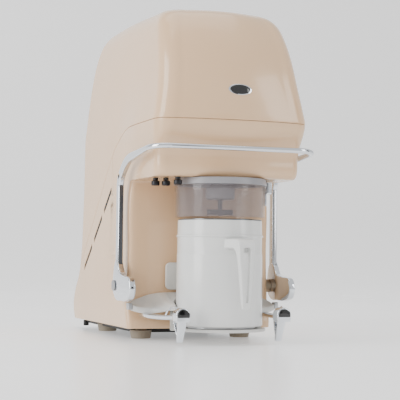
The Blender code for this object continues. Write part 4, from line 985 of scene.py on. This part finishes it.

# ---- Hooks -----------------------------------------------------------------------------------------
# Chromed forgings screwed under the wings.  Each runs forward as a flat arm to a D-shaped
# block, from which a tapered leg and a thin strut hang; a wire loops over it.  The block's
# black face is a painted reflection, the dark seen in its chrome end.


def hook(side, word):
    def at(x, y, z):
        return (side * x * mm, y * mm, z * mm)

    def bar(name, path, section):
        return new_piece(name, sweep(path, section, (1, 0, 0)))

    def face_on(points):
        return [Vector((side * x, z)) * mm for x, z in map(Vector, points)]
    mid = 81.3    # the block's middle, in millimetres from the machine's middle
    arm_line = curve_through([at(102, 72, 41), at(101, 40, 40.5), at(96, 4, 40.5), at(88, -30, 41.5),
                              at(84, -54, 43)], 6 * mm)
    flat = rounded_rectangle(-5 * mm, -3.6 * mm, 5 * mm, 3.6 * mm, 2.4 * mm, 5)
    body = bar("hook_forging_" + word, arm_line, lambda t: flat)
    dee = face_on([(mid + x, z) for x, z in ((-11.4, 37.5), (-9.8, 35.4), (9.8, 35.4), (11.4, 37.5))]
                  + arc((mid, 46.5), (11.4, 10.5), 0, 180, 14))
    block = plate("block", dee, "Y", -66 * mm, -47 * mm, 2 * mm, 5)
    leg_line = [at(80, -56, 40), at(80, -54, 30), at(80, -50, 20), at(80, -46.5, 10), at(80, -45.5, 6)]

    def leg_section(t):
        wide = lerp(7.4, 4.6, t) * mm
        return rounded_rectangle(-wide, -3.4 * mm, wide, 3.4 * mm, 1.6 * mm, 4)
    thin = rounded_rectangle(-5 * mm, -1 * mm, 5 * mm, 1 * mm, 0.9 * mm, 3)
    leg = bar("leg", resample(leg_line, 3 * mm), leg_section)
    strut = bar("strut", [at(82, -33, 40), at(81, -38, 28), at(80, -45, 15)], lambda t: thin)
    boolean(body, "UNION", block, leg, strut)
    dress(body, CHROME, "tray", "chrome", "hook_" + word)
    cap = face_on(arc((mid, 46), (9.6, 8.8), 0, 180, 14)
                  + [(mid - 9.6, 43.6), (mid - 8.4, 42.4), (mid + 8.4, 42.4), (mid + 9.6, 43.6)])
    # Painted reflection: a black plate for the dark seen in the chrome cap.
    face = plate("hook_face_" + word, cap, "Y", -68.4 * mm, -65.8 * mm, 1 * mm, 4)
    dress(face, BLACK_GLOSS, "tray", "black_plastic", "hook_cap_" + word)
    ring = arc((0, 0), (1.3 * mm, 1.3 * mm), 0, 330, 11)
    loop = curve_through([at(93, -16, 43), at(92, -24, 51), at(89, -35, 56), at(86, -46, 57),
                          at(84, -52, 54)], 3 * mm)
    dress(bar("hook_wire_" + word, loop, lambda t: ring), CHROME, "tray", "chrome")


for side, word in SIDES:
    hook(side, word)

# ---- Mug --------------------------------------------------------------------------------------------
# A white double-walled mug with a steel liner.  The jacket is one glossy moulding with a
# raised ring that stops under the guard, and a handle forked by a tapering slot.
WHITE = moulded("white_plastic", tint("DCDDDB"), tint("E6E7E5"), 0.17, 420, 0.00002, 0.3)


def mug_jacket():
    profile = [(54.4, 27), (65, 27), (66.6, 28.2), (67, 31), (66.3, 136.8), (66.2, 137.4), (65.8, 138),
               (65.75, 163), (66.1, 163.3), (67.2, 163.7), (67.3, 164.4), (67.3, 165.8), (67.1, 166.4),
               (65.8, 167), (65.3, 188), (64.9, 189.1), (60.9, 189.2), (60.9, 34), (54.4, 34)]
    jacket = turned("mug_body", in_mm(profile), sides=160, sharp=50)
    y, top, low, deep = -115, 160.5, 56, 9.5
    side_view = [(-63.2, 145), (-63.2, 161), (-70, 160.4)]
    side_view += arc((y + 13, top - 13), (13, 13), 90, 180, 8)
    side_view += [(y, low + 16), (y + 1, low + 6), (y + 3, low + 1.4), (y + 5, low), (y + 7, low + 1.4),
                  (y + 8.8, low + 6), (y + deep, low + 16), (y + deep, top - 34.5)]
    side_view += arc((y + deep + 20, top - 34.5), (20, 20), 180, 90, 8)[1:8]
    side_view += [(-70, 146)]
    bm = outline_plate(in_mm(side_view), "X", -14 * mm, 14 * mm, 3 * mm, 6)
    for vert in bm.verts:
        flare = 1 + 0.25 * ease(vert.co.y, -76 * mm, -64 * mm)
        vert.co.x *= lerp(0.44, 1.0, ease(vert.co.z, 40 * mm, 150 * mm)) * flare
    handle = new_piece("handle", bm)
    fork = bmesh.new()
    rings = []
    for height, gap in ((66, 1.2), (67.5, 2.1), (70, 2.6), (144, 6.0), (146, 5.2), (147, 3.4)):
        ring = in_mm([(-gap, -125, height), (gap, -125, height), (gap, -100, height), (-gap, -100, height)])
        rings.append([fork.verts.new(place) for place in ring])
    boolean(handle, "DIFFERENCE", new_piece("fork", bridge(fork, rings)))
    bevel = handle.modifiers.new("edge", "BEVEL")
    bevel.width, bevel.segments, bevel.limit_method = 1.1 * mm, 3, "ANGLE"
    bevel.angle_limit = math.radians(50)
    bake(handle)
    return boolean(jacket, "UNION", handle)


dress(mug_jacket(), WHITE, "mug", "white_plastic", "mug_jacket")

LINER_STEEL = polished("liner_steel", tint("8E9092"), 0.16, 0.12)
liner = [(0, 27.4), (54, 27.4), (54, 34.4), (60.5, 34.4), (60.5, 189.6), (64.4, 189.6), (65, 190),
         (65, 190.7), (64.4, 191), (59.6, 191), (58.9, 190.2), (58.9, 41), (57, 38.2), (54, 37.2),
         (0, 37)]
dress(turned("mug_lining", in_mm(liner), sides=160), LINER_STEEL, "mug", "steel", "mug_liner")
finish_nodes(WHITE, "dasher_frame", "drive_gear")

# ---- Guard ---------------------------------------------------------------------------------------------
# A smoky clear collar that the mug's neck rises into, clamped under the head by a grey ring,
# with a bright latch at its right and three dark turned screws to its left.


def smoky():
    finish = Finish("smoky_clear", base_color=tint("8E878A"), roughness=0.05, ior=1.49, coat_weight=0.6)
    streaks = finish.noise(22, 2, (1, 1, 0.05))
    finish.set("Alpha", 0.16 + streaks * 0.22)
    return finish.bump(finish.noise(40, 2), 0.00002, 0.2).material


SMOKY = smoky()
collar = [(67.4, 194.6), (67.9, 194), (69.2, 194), (69.6, 194.6), (69.6, 232.4), (70.2, 233.4),
          (71.2, 234.2), (71.2, 242.6), (70.8, 243), (64.8, 243), (64.4, 242.6), (64.4, 241.2),
          (64.8, 240.8), (67, 240.8), (67.4, 240.4)]
dress(turned("guard_collar", in_mm(collar), sides=144), SMOKY, "root", "clear_plastic", "clear_guard")
clamp = [(56, 243.4), (71.6, 243.4), (72.2, 244), (71.9, 248), (71.2, 252.8), (70.6, 253.6), (56, 253.6)]
dress(turned("clamp_ring", in_mm(clamp), sides=144), GREY, "root", "grey_plastic", "guard_ring")
latch_outline = rounded_rectangle(-11 * mm, 232 * mm, 11 * mm, 253.6 * mm, 2.5 * mm)
latch = plate("latch_plate", latch_outline, "X", 74 * mm, 83 * mm, 1.2 * mm)
tongue_outline = rounded_rectangle(-7 * mm, 214 * mm, 7 * mm, 238 * mm, 2 * mm)
tongue = plate("tongue", tongue_outline, "X", 73.5 * mm, 76 * mm, 0.6 * mm)
dress(boolean(latch, "UNION", tongue), CHROME, "root", "chrome", "guard_latch")
DARK = polished("dark_metal", tint("39393B"), 0.25, 0.12)
knob = rounded_profile([(0, 241.6), (5.5, 241.6), (6.5, 243), (6.5, 248.6), (4, 249.6), (4, 253.6),
                        (0, 253.6)], 0.6)
for number, (x, y) in enumerate(((-102, 12), (-87, 6), (-80, -30))):
    piece = turned("ring_screw_%d" % (number + 1), in_mm(knob), (x * mm, y * mm), sides=24)
    dress(piece, DARK, "root", "dark_metal", "guard_screw_%d" % (number + 1))

# ---- Drive spindle, boss and seal --------------------------------------------------------------------
# A blackened steel shaft with a pressed-through cross bar, under a grey moulded boss that
# throws splashes clear of the rubber seal.
gear_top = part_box("drive_spindle")[1].z
shaft = [(0, 197), (2.6, 197), (3.6, 198), (3.6, 221), (6, 221), (6, gear_top / mm), (0, gear_top / mm)]
spindle = turned("spindle", in_mm(rounded_profile(shaft, 0.5)), sides=48)
dog_outline = rounded_rectangle(-21 * mm, -4 * mm, 21 * mm, 4 * mm, 3 * mm)
dog = plate("dog", dog_outline, "Z", 198.4 * mm, 206.6 * mm, 0.8 * mm)
dress(boolean(spindle, "UNION", dog), DARK, "drive", "dark_metal", "drive_spindle")
boss = rounded_profile([(6.35, 222), (20.5, 222), (22.5, 224), (22.5, 240), (14, 244), (14, 248.6),
                        (6.35, 248.6)], 1.2)
dress(turned("boss", in_mm(boss)), GREY, "drive", "grey_plastic", "drive_boss")
SEAL = moulded("seal_rubber", tint("1A1A1A"), tint("242424"), 0.6, 300, 0.00005)
finish_nodes(SEAL, "shaft_seal")

# ---- Inside the body ----------------------------------------------------------------------------------
# The motor, frame, board and cooling unit are hidden in use; each keeps its CAD shape under
# the finish of the real piece.
ZINC = polished("zinc_plate", tint("9FA3A6"), 0.32, 0.2)
finish_nodes(ZINC, "main_frame", "fan_shroud", "motor_pinion")
finish_nodes(BLACK, "fan_motor", "fan_blades")
finish_nodes(moulded("motor_paint", tint("6A6D70"), tint("74777A"), 0.4, 120, 0.0001), "drive_motor")
finish_nodes(moulded("shell_paint", tint("101012"), tint("19191B"), 0.35, 90, 0.00015, 0.2), "compressor")
finish_nodes(moulded("board_lacquer", tint("0E4A22"), tint("14572A"), 0.35, 180, 0.00005, 0.3),
             "control_board")
finish_nodes(polished("copper", tint("C07848"), 0.25, 0.2), "liquid_pipe", "suction_pipe")
finish_nodes(polished("bronze", tint("9C8C78"), 0.3, 0.15), "pivot_bush_left", "pivot_bush_right")
FIN_METAL = polished("fin_metal", tint("C4C6C8"), 0.3, 0.1)
FINS = repeat_tree("condenser_fins", BAR, BAR_SIZES, FIN_METAL)
fin_low, fin_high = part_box("condenser")
fin_mid = [(fin_low.y + fin_high.y) / 2 - AXIS_Y, (fin_low.z + fin_high.z) / 2]
fin_count = 40
fin_points = [(lerp(fin_low.x + 1 * mm, fin_high.x - 1 * mm, i / (fin_count - 1)), *fin_mid)
              for i in range(fin_count)]
repeat("fin_stack", fin_points, FINS, "root",
       {"Size": (0.6 * mm, fin_high.y - fin_low.y, fin_high.z - fin_low.z)}, ["condenser"])
COIL = {"node": "GeometryNodeMeshCylinder", "fixed": {"Vertices": 16},
        "sized": {"Radius": "Radius", "Depth": "Length"}}
COIL_SIZES = {"Radius": ("NodeSocketFloat", 4 * mm), "Length": ("NodeSocketFloat", 0.15),
              "Turn": ("NodeSocketRotation", (0, 0, 0))}
TUBES = repeat_tree("condenser_tubes", COIL, COIL_SIZES, bpy.data.materials["copper"])
tube_points = [(0, fin_mid[0] + y, lerp(fin_low.z + 12 * mm, fin_high.z - 12 * mm, i / 5))
               for i in range(6) for y in (-7 * mm, 7 * mm)]
repeat("coil_tubes", tube_points, TUBES, "root",
       {"Radius": 3.5 * mm, "Length": fin_high.x - fin_low.x, "Turn": (0, math.pi / 2, 0)})

# ---- Studio -----------------------------------------------------------------------------------------
# A pale sweep, one wide soft light from the left, a weak fill from the right, a wide light
# overhead, and two black cards for the chrome to reflect.
sweep_line = curve_through([(-2.2, 0.0), (1.3, 0.0)], 0.5)
sweep_line += curve_through([(1.3, 0.0), (1.75, 0.05), (2.1, 0.25), (2.3, 0.6), (2.3, 3.0)], 0.1)[1:]
floor_mesh = mesh_from("studio_floor", [(x, y, z - 0.0002) for y, z in sweep_line for x in (-4, 4)],
                       [(i, i + 1, i + 3, i + 2) for i in range(0, 2 * len(sweep_line) - 2, 2)])
floor_mesh.shade_smooth()
floor = linked("studio_floor", floor_mesh)
floor_finish = Finish("studio_floor", base_color=(0.9, 0.9, 0.9), emission_color=(1.0, 1.0, 1.0),
                      emission_strength=0.32)
floor_finish.set("Roughness", 0.22 + floor_finish.noise(3) * 0.08)
floor.data.materials.append(floor_finish.material)

world = bpy.data.worlds.new("studio")
world.use_nodes = True
sky = world.node_tree.nodes["Background"].inputs
sky["Color"].default_value, sky["Strength"].default_value = (1, 1, 1, 1), 0.9
bpy.context.scene.world = world


def soft_light(name, place, target, size, power):
    data = bpy.data.lights.new(name, "AREA")
    data.shape, data.size, data.size_y = "RECTANGLE", size[0], size[1]
    data.energy = power
    lamp = linked(name, data)
    lamp.location = place
    lamp.rotation_euler = (Vector(target) - Vector(place)).to_track_quat("-Z", "Y").to_euler()


soft_light("key", (-2.0, -0.5, 1.0), (0, 0, 0.25), (1.0, 1.8), 40)
soft_light("fill", (1.35, -1.5, 0.95), (0, 0, 0.4), (0.5, 1.3), 10)
soft_light("top", (0.0, 0.0, 2.2), (0, 0, 0.3), (1.6, 1.6), 12)


def dark_card(name, place, target, size):
    """Black card beside the set, which gives the chrome its dark edges."""
    turn = (Vector(target) - Vector(place)).to_track_quat("-Z", "Y").to_matrix()
    corners = [Vector(place) + turn @ Vector((u * size[0] / 2, v * size[1] / 2, 0))
               for u, v in ((-1, -1), (1, -1), (1, 1), (-1, 1))]
    card = linked(name, mesh_from(name, corners, [(0, 1, 2, 3)]))
    card.data.materials.append(SEAL)


dark_card("card_right", (1.9, -0.9, 0.5), (0, -0.3, 0.3), (0.5, 1.6))
dark_card("card_front", (0.55, -2.6, 0.5), (0, 0, 0.3), (0.5, 1.4))

# ---- Camera -----------------------------------------------------------------------------------------
# It stands 20 degrees to the front's left, a hand's breadth above the worktop, and looks up
# a little.
VIEW = math.radians(20)
DISTANCE, HEIGHT, OFFSET = 1.9023, 0.1349, -0.03126
PITCH, ROLL = math.radians(2.6), math.radians(0.6)
right = Vector((math.cos(VIEW), -math.sin(VIEW), 0))
ahead = Vector((math.sin(VIEW), math.cos(VIEW), 0))
camera_data = bpy.data.cameras.new("camera")
camera_data.lens, camera_data.sensor_width = 110.1, 36
camera = linked("camera", camera_data)
look = ahead * math.cos(PITCH) + Vector((0, 0, math.sin(PITCH)))
camera.location = Vector((0, AXIS_Y, HEIGHT)) - ahead * DISTANCE + right * OFFSET
turn = look.to_track_quat("-Z", "Y").to_matrix().to_4x4()
camera.matrix_world = Matrix.Translation(camera.location) @ turn @ Matrix.Rotation(ROLL, 4, "Z")
bpy.context.scene.camera = camera
